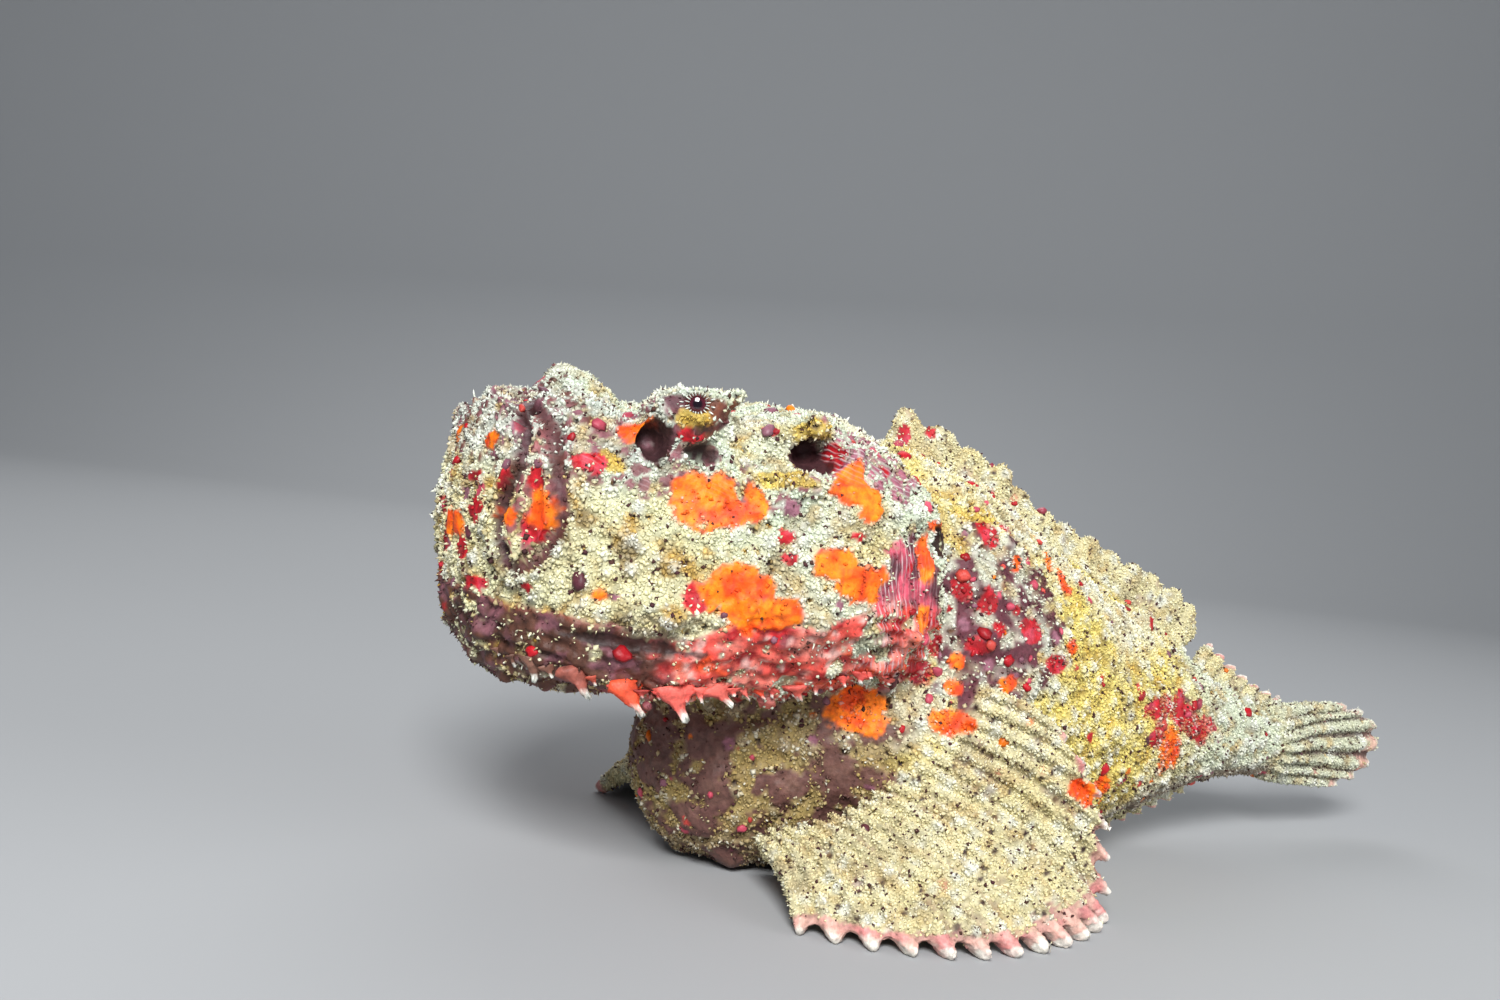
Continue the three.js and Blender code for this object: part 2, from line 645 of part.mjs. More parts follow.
// The spiny part of the fin on the back: sheathed spines joined by a low, thick membrane
function spinyFin() {
  const count = SPINES.length;
  const first = SPINES[0];
  const last = SPINES[count - 1];
  const value = (s, k) => {
    const place = Math.min(count - 1, Math.max(0, s));
    const i = Math.min(count - 2, Math.floor(place));
    const beyond = (s - place) * 6;
    return mix(SPINES[i][k], SPINES[i + 1][k], place - i) + (k === 0 ? beyond : 0);
  };
  const ridge = (s) => Math.cos(Math.PI * s) ** 2;
  const at = (u) => u * count - 0.5;
  const pointAt = (u, v) => {
    const s = at(clamp01(u));
    const x = value(s, 0);
    const back = column(TRUNK, 1, x);
    const ends = smooth((s + 0.6) / 0.5) * smooth((count - 0.4 - s) / 0.5);
    const height = value(s, 1) * mix(WEB_HEIGHT, 1, ridge(s)) * mix(0.3, 1, ends);
    const root = vector([x, 0, back - SPINE_ROOT]);
    const tip = vector([x + value(s, 2), value(s, 3), back + height]);
    return root.lerp(tip, v);
  };
  const thicknessAt = (u, v) => mix(mix(...WEB_DEPTHS, v), mix(...SPINE_DEPTHS, v), ridge(at(u)));
  return solid(finSheet(count * 3, 3, pointAt, thicknessAt));
}

const cutFromBody = (made) => made.subtract(bodyGrown).subtract(headGrown);
parts.dorsal_fin_spiny = cutFromBody(spinyFin());
parts.dorsal_fin_soft = rayedFin({
  root: SOFT_ROOT,
  tips: SOFT_TIPS,
  rays: SOFT_RAYS,
  rows: 3,
  lift: [0, 0, 1],
  rayDepth: [4.2, 2.4],
  membraneDepth: [2.6, 1.2],
}).subtract(bodyGrown);
parts.anal_fin = rayedFin({
  root: ANAL_ROOT,
  tips: ANAL_TIPS,
  rays: ANAL_RAYS,
  rows: 3,
  lift: [0, 0, -1],
  rayDepth: [4.6, 2.6],
  membraneDepth: [2.8, 1.3],
}).subtract(bodyGrown);
const pectoral = rayedFin({
  root: PECTORAL_ROOT,
  tips: PECTORAL_TIPS,
  rays: PECTORAL_RAYS,
  rows: 4,
  lift: [0, -5, 6],
  rayDepth: [6, 3.4],
  membraneDepth: [3, 1.6],
});
const pelvic = rayedFin({
  root: PELVIC_ROOT,
  tips: PELVIC_TIPS,
  rays: PELVIC_RAYS,
  rows: 4,
  lift: [0, 0, 3],
  rayDepth: [4.4, 2.6],
  membraneDepth: [2.4, 1.4],
});
parts.pectoral_fin_left = cutFromBody(pectoral);
parts.pectoral_fin_right = cutFromBody(mirrored(pectoral));
parts.pelvic_fin_left = cutFromBody(pelvic);
parts.pelvic_fin_right = cutFromBody(mirrored(pelvic));

// The tail fin, half folded, begins on the flat hind face of the tail
function tailFin() {
  const tipCurve = new THREE.CatmullRomCurve3(CAUDAL_TIPS.map(vector));
  const [, top, bottom, half] = TRUNK[TRUNK.length - 1];
  const ridge = (u) => Math.cos(Math.PI * u * (CAUDAL_RAYS - 1)) ** 2;
  const pointAt = (u, v) => {
    const root = vector([TAIL_END + GAP, 0, mix(top - 0.5, bottom + 0.5, u)]);
    return root.lerp(tipCurve.getPointAt(clamp01(u)), v * mix(0.95, 1, ridge(u) ** 0.5));
  };
  const thicknessAt = (u, v) => {
    const round = 2 * half * Math.sqrt(Math.max(0, 1 - (2 * u - 1) ** 2)) + 2;
    const thin = mix(mix(...CAUDAL_WEB_DEPTHS, v), mix(...CAUDAL_RAY_DEPTHS, v), ridge(u));
    return mix(round, thin, smooth(v * 2.6));
  };
  return solid(finSheet((CAUDAL_RAYS - 1) * 2, 5, pointAt, thicknessAt));
}
parts.caudal_fin = tailFin();

const COLOURS = {
  head: 0xd8d6b2,
  maxilla_left: 0x7a4a3c,
  maxilla_right: 0x7a4a3c,
  lower_jaw: 0xcfc3a2,
  eye_left: 0x2a1a1c,
  eye_right: 0x2a1a1c,
  trunk: 0xd2c27e,
  tail: 0xcfbf8a,
  dorsal_fin_spiny: 0xa8566a,
  dorsal_fin_soft: 0xb9ad80,
  anal_fin: 0xc9a070,
  caudal_fin: 0xb7a79a,
  pectoral_fin_left: 0xd6c793,
  pectoral_fin_right: 0xd6c793,
  pelvic_fin_left: 0xc98f6a,
  pelvic_fin_right: 0xc98f6a,
};

const stonefish = new THREE.Group();
for (const [name, made] of Object.entries(parts)) {
  const mesh = onFloor(made).getMesh();
  const geometry = indexed(mesh.vertProperties, Array.from(mesh.triVerts));
  geometry.computeVertexNormals();
  const wet = name.startsWith("eye");
  const material = new THREE.MeshStandardMaterial({
    color: COLOURS[name],
    roughness: wet ? 0.15 : 0.8,
    metalness: 0,
  });
  const piece = new THREE.Mesh(geometry, material);
  piece.name = name;
  stonefish.add(piece);
}
export default stonefish;
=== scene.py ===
"""Looks of the reef stonefish: one skin over the solids, a crust of joined granules, warts, fringe and eyes.

Shapes are worked out in millimetres and turned into metres when a mesh is made.
"""
import math

import bmesh
import bpy
import numpy as np
from mathutils import Matrix, Vector
from mathutils.bvhtree import BVHTree
from mathutils.kdtree import KDTree


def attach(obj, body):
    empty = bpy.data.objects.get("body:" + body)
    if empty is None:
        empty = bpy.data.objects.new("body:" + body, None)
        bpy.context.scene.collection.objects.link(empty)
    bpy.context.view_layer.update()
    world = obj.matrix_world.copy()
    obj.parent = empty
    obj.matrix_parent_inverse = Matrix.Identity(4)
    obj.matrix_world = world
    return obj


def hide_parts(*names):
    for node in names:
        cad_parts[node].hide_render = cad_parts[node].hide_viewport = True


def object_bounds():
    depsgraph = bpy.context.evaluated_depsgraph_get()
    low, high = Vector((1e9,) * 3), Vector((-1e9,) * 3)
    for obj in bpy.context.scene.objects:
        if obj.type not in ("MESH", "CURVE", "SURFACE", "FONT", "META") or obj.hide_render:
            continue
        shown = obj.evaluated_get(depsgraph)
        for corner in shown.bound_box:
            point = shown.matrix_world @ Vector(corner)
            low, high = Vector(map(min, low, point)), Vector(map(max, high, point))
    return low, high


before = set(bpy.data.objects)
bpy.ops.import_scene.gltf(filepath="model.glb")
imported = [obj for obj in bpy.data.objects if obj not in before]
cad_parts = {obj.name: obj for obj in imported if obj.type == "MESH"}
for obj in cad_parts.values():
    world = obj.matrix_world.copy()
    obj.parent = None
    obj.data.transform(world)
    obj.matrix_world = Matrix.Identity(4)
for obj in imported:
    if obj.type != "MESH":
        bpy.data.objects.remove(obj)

cad_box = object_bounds()

MM = 0.001

# Camera: place in metres, turn from +Y towards +X, tilt down and roll in degrees, lens in mm
CAMERA_PLACE = (-0.241, -0.324, 0.109)
CAMERA_TURN = 28.7
CAMERA_DOWN = 3.2
CAMERA_ROLL = 6.9
CAMERA_LENS = 36.24

# Skin: sizes in mm
VOXEL = 0.75
SEAM_GROWTH = 0.42
BODY_SINK = 0.9
FIN_SINK = 0.45
SMOOTH_STEPS = 76
FIN_SMOOTH = 0.06
EYE_SMOOTH = 0.12
BOX_MARGIN = 0.1

# Landmarks in mm, on the left side (-Y), repeated on the right
EYE = np.array([-100.0, -38.5, 109.5])
EYE_LOOK = np.array([-0.43, -0.89, 0.10]) / np.linalg.norm([-0.43, -0.89, 0.10])
BALL_OUT = 0.5
BALL_RADIUS = 4.2
PUPIL_OUT = 4.8
BALL_TOP = 0.66
LID_HOLE = 1.9
GAPE = [(0, 109), (10, 108), (18, 104), (23, 98), (23.5, 92), (21.5, 85), (21, 79), (24, 72)]
MAXILLA = [(12, 103), (21, 105), (28, 101), (32.5, 92), (33.5, 82), (31, 75), (26, 70)]

FINS = (
    "dorsal_fin_spiny",
    "dorsal_fin_soft",
    "anal_fin",
    "caudal_fin",
    "pectoral_fin_left",
    "pectoral_fin_right",
    "pelvic_fin_left",
    "pelvic_fin_right",
)
FLESH = ("head", "maxilla_left", "maxilla_right", "lower_jaw", "trunk", "tail") + FINS

# Lids: how far out along the eye's look, radius of the ring, radius of its roll
LIDS = [(4.1, LID_HOLE + 0.9, 0.9), (2.9, 4.0, 1.4), (1.0, 4.9, 1.7)]
# Lumps joined to the flesh: centre and radii; repeated on the right side
LUMPS = [
    ((-96.4, -43.0, 111.4), (2.6, 1.6, 1.2)),  # point of the hood over the eye
    ((-99.5, -41.2, 112.9), (4.6, 2.2, 1.3)),  # hood over the eye
    ((-102.4, -42.6, 106.4), (3.2, 2.2, 1.7)),  # pouch under the eye
    ((-103.2, -42.6, 102.6), (3.6, 2.6, 1.5)),  # lump under the pouch
    ((-110.8, -31.5, 108.6), (1.2, 1.2, 2.8)),  # tube of the nostril
    ((-73.5, -40.5, 107.2), (5.5, 3.4, 3.2)),  # lump over the pit behind the eye
    ((-81.2, -38.6, 105.3), (4.2, 4.0, 4.2)),  # mound between the eye and the pit
    ((-103.5, -44.5, 64.0), (3.8, 3.6, 4.6)),  # knob at the lower edge of the cheek
    ((-135.6, -9.5, 98.5), (1.8, 1.5, 1.3)),  # knobs on the upper lip
    ((-128.5, -10, 106.5), (1.4, 1.4, 2.2)),
]

# Pushes of the skin: centre, radii, shift at the centre, in mm; repeated on the right side
PUSHES = [
    ((-72.8, -45, 101.5), (5.4, 8, 5.2), (1, 8, 1)),  # pit behind the eye
    ((-74, -42, 108), (8, 7, 5), (0, -3, 2)),  # hood over that pit
    ((-65, -46, 104), (7, 8, 7), (0, -3, 1)),  # swelling behind it
    ((-76, -49, 95), (10, 6, 5), (0, -2.5, 1)),  # rim below it
    ((-83, -40, 106), (6, 6, 6), (0, -3, 1)),  # mound between eye and pit
    ((-109, -39.5, 101.6), (3.2, 7, 4.6), (1, 6.5, -1)),  # hollow before the eye
    ((-100, -44, 99.7), (4.6, 6, 2.2), (0, 3.5, -0.5)),  # hollow below the eye
    ((-103, -44, 102.5), (4.5, 5, 3), (0, -3, 0)),  # lump under the eye
    ((-103, -44, 107), (4, 4, 3.5), (0, -2, 0)),  # pouch under the eye
    ((-93.5, -39, 112), (4, 5, 4), (3, -3.5, 2)),  # point of that hood
    ((-110, -37, 108), (8, 7, 6), (-1, -2, 1.5)),  # its front foot
    ((-118, -26, 103), (9, 7, 6), (-1, -1, 2)),  # shoulder of the snout
    ((-127, -31, 92), (7, 6, 12), (-1, -1, 0)),  # outer edge of the upper jaw
    ((-128, -30, 70), (6, 7, 6), (-1.5, -1, 0)),  # knob below the corner of the mouth
    ((-38, -45, 85), (4, 5, 5), (-1, 4, 0)),  # hollow behind the gill cover's angle
    ((-46, -49, 90), (10, 6, 5), (0, -2.5, 1)),  # ridge above the gill cover
    ((-60, -53, 66), (18, 8, 7), (0, -1.5, 0)),  # lower cheek
    ((-106, -46, 67), (16, 9, 5), (0, -2.5, 0)),  # lower cheek, in front
    ((-110, -44, 59), (18, 9, 3.2), (0, 2.6, 0)),  # groove between cheek and rim
    ((-50, -50, 57), (12, 8, 5), (0, -2, -1)),  # hind part of the rim
]
# The near turret is drawn in: centre, radii and shift on the left side only
NEAR_TURRET = ((-100, -36, 117.5), (13, 13, 7.5), (0, -1, -3.4))


def ramp(value, low, high):
    """0 below low, 1 above high, and smooth between them."""
    t = np.clip((value - low) / (high - low), 0, 1)
    return t * t * (3 - 2 * t)


def mix(a, b, t):
    return a + (b - a) * t


def unit(vectors):
    length = np.linalg.norm(vectors, axis=-1, keepdims=True)
    return vectors / np.maximum(length, 1e-9)


def hashed(cells, seed):
    """A number from 0 to 1 for each whole-numbered cell."""
    c = cells.astype(np.int64)
    h = c[..., 0] * 73856093 ^ c[..., 1] * 19349663 ^ c[..., 2] * 83492791 ^ (seed * 2654435761)
    h = h & 0xFFFFFFFF
    h = ((h ^ (h >> 16)) * 0x45D9F3B) & 0xFFFFFFFF
    h = ((h ^ (h >> 16)) * 0x45D9F3B) & 0xFFFFFFFF
    return ((h ^ (h >> 16)) & 0xFFFFFF) / float(0xFFFFFF)


def noise(points, size, seed=0):
    """Smooth noise from -1 to 1 with lumps of the given size."""
    scaled = points / size
    cell = np.floor(scaled)
    t = scaled - cell
    t = t * t * (3 - 2 * t)
    total = np.zeros(len(points))
    for corner in range(8):
        step = np.array([corner & 1, corner >> 1 & 1, corner >> 2 & 1])
        weight = np.prod(np.where(step, t, 1 - t), axis=1)
        total += weight * hashed(cell + step, seed)
    return 2 * total - 1


def layered(points, size, seed=0, octaves=3):
    """Noise with finer noise added."""
    total = np.zeros(len(points))
    for k in range(octaves):
        total += noise(points, size / 2**k, seed + 17 * k) * 0.5**k
    return total / 1.6


def cells(points, size, seed=0):
    """Distance to the nearest and second nearest of scattered seeds, and a number for the nearest."""
    scaled = points / size
    base = np.floor(scaled)
    first = np.full(len(points), 9.0)
    second = np.full(len(points), 9.0)
    label = np.zeros(len(points))
    for dx in (-1, 0, 1):
        for dy in (-1, 0, 1):
            for dz in (-1, 0, 1):
                cell = base + np.array([dx, dy, dz])
                spot = np.stack([hashed(cell, seed + k) for k in (1, 2, 3)], axis=1)
                away = np.linalg.norm(cell + spot - scaled, axis=1)
                nearer = away < first
                second = np.where(nearer, first, np.minimum(second, away))
                label = np.where(nearer, hashed(cell, seed + 4), label)
                first = np.where(nearer, away, first)
    return first, second, label


def srgb(red, green, blue):
    """Linear colour of an sRGB one."""
    value = np.array([red, green, blue])
    return np.where(value <= 0.04045, value / 12.92, ((value + 0.055) / 1.055) ** 2.4)


def left_side(points):
    """The same places brought over to the left side."""
    folded = points.copy()
    folded[:, 1] = -np.abs(folded[:, 1])
    return folded


def inside(points, centre, radii):
    """How far a point lies from the middle of an ellipsoid: 1 on its surface."""
    return np.linalg.norm((points - np.array(centre)) / np.array(radii), axis=1)


def curve_points(points, steps=10):
    """A smooth curve through given points."""
    p = np.array([points[0]] + list(points) + [points[-1]], float)
    made = []
    for i in range(1, len(p) - 2):
        for t in np.linspace(0, 1, steps, endpoint=False):
            a, b, c, d = p[i - 1], p[i], p[i + 1], p[i + 2]
            made.append(
                0.5 * (2 * b + (c - a) * t + (2 * a - 5 * b + 4 * c - d) * t**2 + (3 * b - a - 3 * c + d) * t**3)
            )
    made.append(p[-2])
    return np.array(made)


def distance_to_curve(flat, curve):
    """Distance of each 2-D point to a line of points."""
    best = np.full(len(flat), 1e9)
    for a, b in zip(curve[:-1], curve[1:]):
        along = b - a
        t = np.clip(((flat - a) @ along) / (along @ along), 0, 1)
        best = np.minimum(best, np.linalg.norm(flat - a - t[:, None] * along, axis=1))
    return best


def arrays(mesh):
    """Vertices in mm and triangles of a mesh, with vertices at one place merged."""
    co = np.empty(len(mesh.vertices) * 3)
    mesh.vertices.foreach_get("co", co)
    co = co.reshape(-1, 3) / MM
    mesh.calc_loop_triangles()
    tri = np.empty(len(mesh.loop_triangles) * 3, int)
    mesh.loop_triangles.foreach_get("vertices", tri)
    _, first, back = np.unique(np.round(co, 3), axis=0, return_index=True, return_inverse=True)
    tri = back.reshape(-1)[tri].reshape(-1, 3)
    distinct = (tri[:, 0] != tri[:, 1]) & (tri[:, 1] != tri[:, 2]) & (tri[:, 2] != tri[:, 0])
    return co[first], tri[distinct]


def vertex_normals(points, faces):
    """Area-weighted normals; faces may have three or four corners."""
    last = faces[:, -1]
    if faces.shape[1] == 4:
        face = np.cross(points[faces[:, 2]] - points[faces[:, 0]], points[last] - points[faces[:, 1]])
    else:
        face = np.cross(points[faces[:, 1]] - points[faces[:, 0]], points[last] - points[faces[:, 0]])
    total = np.zeros_like(points)
    for corner in range(faces.shape[1]):
        for axis in range(3):
            total[:, axis] += np.bincount(faces[:, corner], face[:, axis], len(points))
    return unit(total)


def new_mesh(name, points, faces, smooth=True):
    """A mesh object from points in mm and an array of faces with a fixed number of corners."""
    mesh = bpy.data.meshes.new(name)
    corners = faces.shape[1]
    mesh.vertices.add(len(points))
    mesh.vertices.foreach_set("co", (points * MM).astype(np.float32).ravel())
    mesh.loops.add(faces.size)
    mesh.loops.foreach_set("vertex_index", faces.astype(np.int32).ravel())
    mesh.polygons.add(len(faces))
    mesh.polygons.foreach_set("loop_start", np.arange(0, faces.size, corners, dtype=np.int32))
    mesh.polygons.foreach_set("use_smooth", np.full(len(faces), smooth))
    mesh.update(calc_edges=True)
    made = bpy.data.objects.new(name, mesh)
    bpy.context.scene.collection.objects.link(made)
    return made


def set_colours(mesh, colours, name="Markings"):
    layer = mesh.color_attributes.new(name, "FLOAT_COLOR", "POINT")
    rgba = np.ones((len(colours), 4), np.float32)
    rgba[:, :3] = colours
    layer.data.foreach_set("color", rgba.ravel())


def neighbour_mean(points, edges, count):
    """Mean of each vertex's neighbours."""
    both = np.concatenate([edges, edges[:, ::-1]])
    degree = np.maximum(np.bincount(both[:, 0], minlength=count), 1)
    mean = np.empty_like(points)
    for axis in range(points.shape[1]):
        mean[:, axis] = np.bincount(both[:, 0], points[both[:, 1], axis], count) / degree
    return mean


def ball(centre, radii, subdivisions=3):
    mesh = bmesh.new()
    bmesh.ops.create_icosphere(mesh, subdivisions=subdivisions, radius=1.0)
    points = np.array([v.co for v in mesh.verts]) * np.array(radii) + np.array(centre)
    faces = np.array([[v.index for v in f.verts] for f in mesh.faces])
    mesh.free()
    return points, faces


def across_axis(axis):
    """Two directions at right angles to an axis: level, and upward."""
    level = unit(np.cross(axis, (0, 0, 1.0)))
    return level, np.cross(level, axis)


def torus(centre, axis, ring, roll, around=32, across=12):
    level, upward = across_axis(axis)
    points = []
    faces = []
    for i in range(around):
        turn = 2 * math.pi * i / around
        out = math.cos(turn) * level + math.sin(turn) * upward
        for j in range(across):
            tilt = 2 * math.pi * j / across
            points.append(centre + (ring + roll * math.cos(tilt)) * out + roll * math.sin(tilt) * axis)
            a, b = i * across + j, i * across + (j + 1) % across
            c, d = (a + across) % (around * across), (b + across) % (around * across)
            faces += [(a, b, d), (a, d, c)]
    return np.array(points), np.array(faces)


def small_forms():
    """The lids and the lumps, on both sides."""
    forms = [torus(EYE + out * EYE_LOOK, EYE_LOOK, ring, roll) for out, ring, roll in LIDS]
    forms += [ball(centre, radii) for centre, radii in LUMPS]
    return forms + [(points * (1, -1, 1), faces[:, ::-1]) for points, faces in forms]


# The skin: copies of the solids of flesh, grown until they merge, remeshed and smoothed
def merged_flesh():
    points, faces, owners = [], [], []
    start = 0
    for number, name in enumerate(FLESH):
        co, tri = arrays(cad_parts[name].data)
        co = co + SEAM_GROWTH * vertex_normals(co, tri)
        points.append(co)
        faces.append(tri + start)
        owners.append(np.full(len(tri), number))
        start += len(co)
    for co, tri in small_forms():
        points.append(co)
        faces.append(tri + start)
        owners.append(np.full(len(tri), FLESH.index("head")))
        start += len(co)
    return np.concatenate(points), np.concatenate(faces), np.concatenate(owners)


def remeshed(points, faces):
    """One closed surface of even quads round the given solids."""
    source = new_mesh("flesh_source", points, faces)
    wrap = source.modifiers.new("wrap", "REMESH")
    wrap.mode = "VOXEL"
    wrap.voxel_size = VOXEL * MM
    graph = bpy.context.evaluated_depsgraph_get()
    made = bpy.data.meshes.new_from_object(source.evaluated_get(graph))
    bpy.data.objects.remove(source)
    co = np.empty(len(made.vertices) * 3)
    made.vertices.foreach_get("co", co)
    quads = np.empty(len(made.loops), int)
    made.loops.foreach_get("vertex_index", quads)
    edges = np.empty(len(made.edges) * 2, int)
    made.edges.foreach_get("vertices", edges)
    bpy.data.meshes.remove(made)
    return largest_shell(co.reshape(-1, 3) / MM, quads.reshape(-1, 4), edges.reshape(-1, 2))


def largest_shell(points, quads, edges):
    """Keeps the largest connected surface."""
    label = np.arange(len(points))
    while True:
        low = np.minimum(label[edges[:, 0]], label[edges[:, 1]])
        new = label.copy()
        np.minimum.at(new, edges[:, 0], low)
        np.minimum.at(new, edges[:, 1], low)
        new = new[new]
        if (new == label).all():
            break
        label = new
    names, counts = np.unique(label, return_counts=True)
    keep = label == names[counts.argmax()]
    renumber = np.cumsum(keep) - 1
    kept_quads = quads[keep[quads].all(axis=1)]
    kept_edges = edges[keep[edges].all(axis=1)]
    return points[keep], renumber[kept_quads], renumber[kept_edges]


def nearest_owner(points, source_points, source_faces, owners):
    """The number of the node of flesh nearest to each point."""
    tree = BVHTree.FromPolygons([Vector(p) for p in source_points], source_faces.tolist())
    found = [tree.find_nearest(Vector(p))[2] for p in points]
    return owners[np.array(found)]


def in_box(points):
    """The same places, none outside the box of the solids."""
    low, high = (np.array(corner) / MM for corner in cad_box)
    return np.clip(points, low + BOX_MARGIN * (low < -1), high - BOX_MARGIN).clip([-1e9, -1e9, 0.02])


def pushed(points):
    moved = points.copy()
    for centre, radii, shift in PUSHES:
        for side in (1, -1):
            flip = np.array([1, side, 1])
            away = inside(points, np.array(centre) * flip, radii)
            weight = np.clip(1 - away**2, 0, 1) ** 2
            moved += weight[:, None] * np.array(shift) * flip
    centre, radii, shift = NEAR_TURRET
    weight = np.clip(1 - inside(points, centre, radii) ** 2, 0, 1) ** 2
    return moved + weight[:, None] * np.array(shift)


class Skin:
    """The skin's arrays: places, normals, quads, edges, the share of each vertex that is fin."""

    def __init__(self):
        source_points, source_faces, owners = merged_flesh()
        self.points, self.quads, self.edges = remeshed(source_points, source_faces)
        owner = nearest_owner(self.points, source_points, source_faces, owners)
        self.owner = owner
        groups = (
            FINS,
            ("dorsal_fin_spiny",),
            ("maxilla_left", "maxilla_right"),
            ("head", "lower_jaw", "maxilla_left", "maxilla_right"),
            ("trunk", "tail"),
        )
        fields = np.stack([np.isin(owner, [FLESH.index(n) for n in names]) for names in groups], axis=1)
        fields = fields.astype(float)
        for _ in range(4):
            fields = neighbour_mean(fields, self.edges, len(self.points))
        self.fin, self.spiny, self.maxilla, self.head_node, self.trunk = fields.T
        self.from_eye = inside(left_side(self.points), EYE, (1, 1, 1))
        by_eye = 1 - ramp(self.from_eye, 6, 12)
        self.smooth(SMOOTH_STEPS, mix(mix(1.0, FIN_SMOOTH, self.fin), EYE_SMOOTH, by_eye))
        self.normals = vertex_normals(self.points, self.quads)

    def smooth(self, steps, strength):
        for _ in range(steps):
            mean = neighbour_mean(self.points, self.edges, len(self.points))
            self.points += 0.6 * strength[:, None] * (mean - self.points)

    def move(self, distance):
        """Moves the vertices along their normals."""
        self.points = self.points + distance[:, None] * self.normals
        self.normals = vertex_normals(self.points, self.quads)


# The rim of the jaws and gill covers on the left side, found on the skin itself
def rim_line(points, head):
    """Places along the edge where the side of the head turns under, from front to back."""
    places = []
    for x in np.arange(-134.0, -38.0, 3.0):
        near = (np.abs(points[:, 0] - x) < 1.6) & (head > 0.5) & (points[:, 1] < -2)
        reach = np.where(near, -0.75 * points[:, 1] - points[:, 2], -1e9)
        places.append(points[reach.argmax()])
    places = np.array(places)
    padded = np.concatenate([places[:1], places[:1], places, places[-1:], places[-1:]])
    return sum(padded[k : k + len(places)] for k in range(5)) / 5


def carved(skin):
    """The forms that the solids only hint at: pushes, the mouth's line and the edge of the upper jaw."""
    skin.points = pushed(skin.points)
    skin.normals = vertex_normals(skin.points, skin.quads)
    folded = left_side(skin.points)
    front = np.stack([-folded[:, 1], folded[:, 2]], axis=1)
    on_face = ramp(-folded[:, 0], 106, 113) * (skin.fin < 0.5)
    gape = distance_to_curve(front, curve_points(GAPE))
    jaw = distance_to_curve(front, curve_points(MAXILLA))
    skin.gape = np.where(on_face > 0.01, gape, 99.0)
    skin.jaw = np.where(on_face > 0.01, jaw, 99.0)
    lips = 1.3 * np.exp(-(((skin.gape - 3.2) / 1.6) ** 2)) - 2.8 * np.exp(-((skin.gape / 1.1) ** 2))
    edge = 0.9 * np.exp(-(((skin.jaw - 2.4) / 1.2) ** 2)) - 1.5 * np.exp(-((skin.jaw / 1.0) ** 2))
    skin.move(on_face * (lips + edge))


def relief_fields(skin):
    """Heights of the lumps and crumbs of the crust, and its pits, by place."""
    q = skin.seed_points
    first, second, label = cells(q, 10.0, 40)
    skin.large = ramp(-first, -0.62, -0.1) * (label - 0.2)
    knob, _, share = cells(q, 4.4, 60)
    skin.knobs = ramp(-knob, -0.62, -0.08) * mix(0.4, 1.0, share)
    skin.crumbs = np.maximum(noise(q, 1.9, 87), noise(q, 2.6, 91))
    hole, _, open_share = cells(q, 3.1, 130)
    skin.pits = ramp(-hole, -0.27, -0.16) * (open_share > 0.3)
    # relief sets only colour: pale crests as a painted highlight and dark hollows as painted shade
    skin.relief = np.clip(0.28 + 0.55 * skin.knobs + 0.22 * skin.crumbs - 0.9 * skin.pits, 0, 1)


def lumped(skin):
    """Moves the skin out and in by zone: lumps and pits of the crust, folds, streaks, rays."""
    p = skin.points
    q = skin.seed_points
    firm = (1 - skin.fin) * ramp(skin.from_eye, 5.5, 9)
    body = 1 - ramp(skin.orange, 0.3, 0.8)
    crusted = skin.crusted * firm * body
    skin.move(firm * (2.2 * skin.large + 0.7 * layered(q, 7.0, 70, 3) - 0.4) * mix(0.5, 1.0, body))
    skin.move(crusted * (1.5 * skin.knobs + 0.5 * skin.crumbs - 1.2 * skin.pits - 0.4))
    raised = skin.ray_height * (skin.ridge - 0.45) * mix(1.0, 0.75, skin.ray_v)
    skin.move(skin.fin * (raised + 0.3 * skin.crumbs * (1 - skin.tip)))
    fold = np.sin(skin.above_rim * 1.7 + 4.0 * layered(q, 10.0, 81, 3)) * skin.band
    streak = np.sin(p[:, 0] * 2.4 + 2.0 * noise(q, 6.0, 83)) * skin.opercle
    bare = firm * (1 - skin.crusted)
    folded = fold * (0.1 + 0.6 * ramp(noise(q, 6.0, 82), -0.4, 0.6))
    rough = (0.5 + 0.4 * skin.band) * skin.crumbs + (0.2 + 0.7 * skin.band) * skin.knobs
    skin.move(folded + 0.3 * streak + bare * rough)


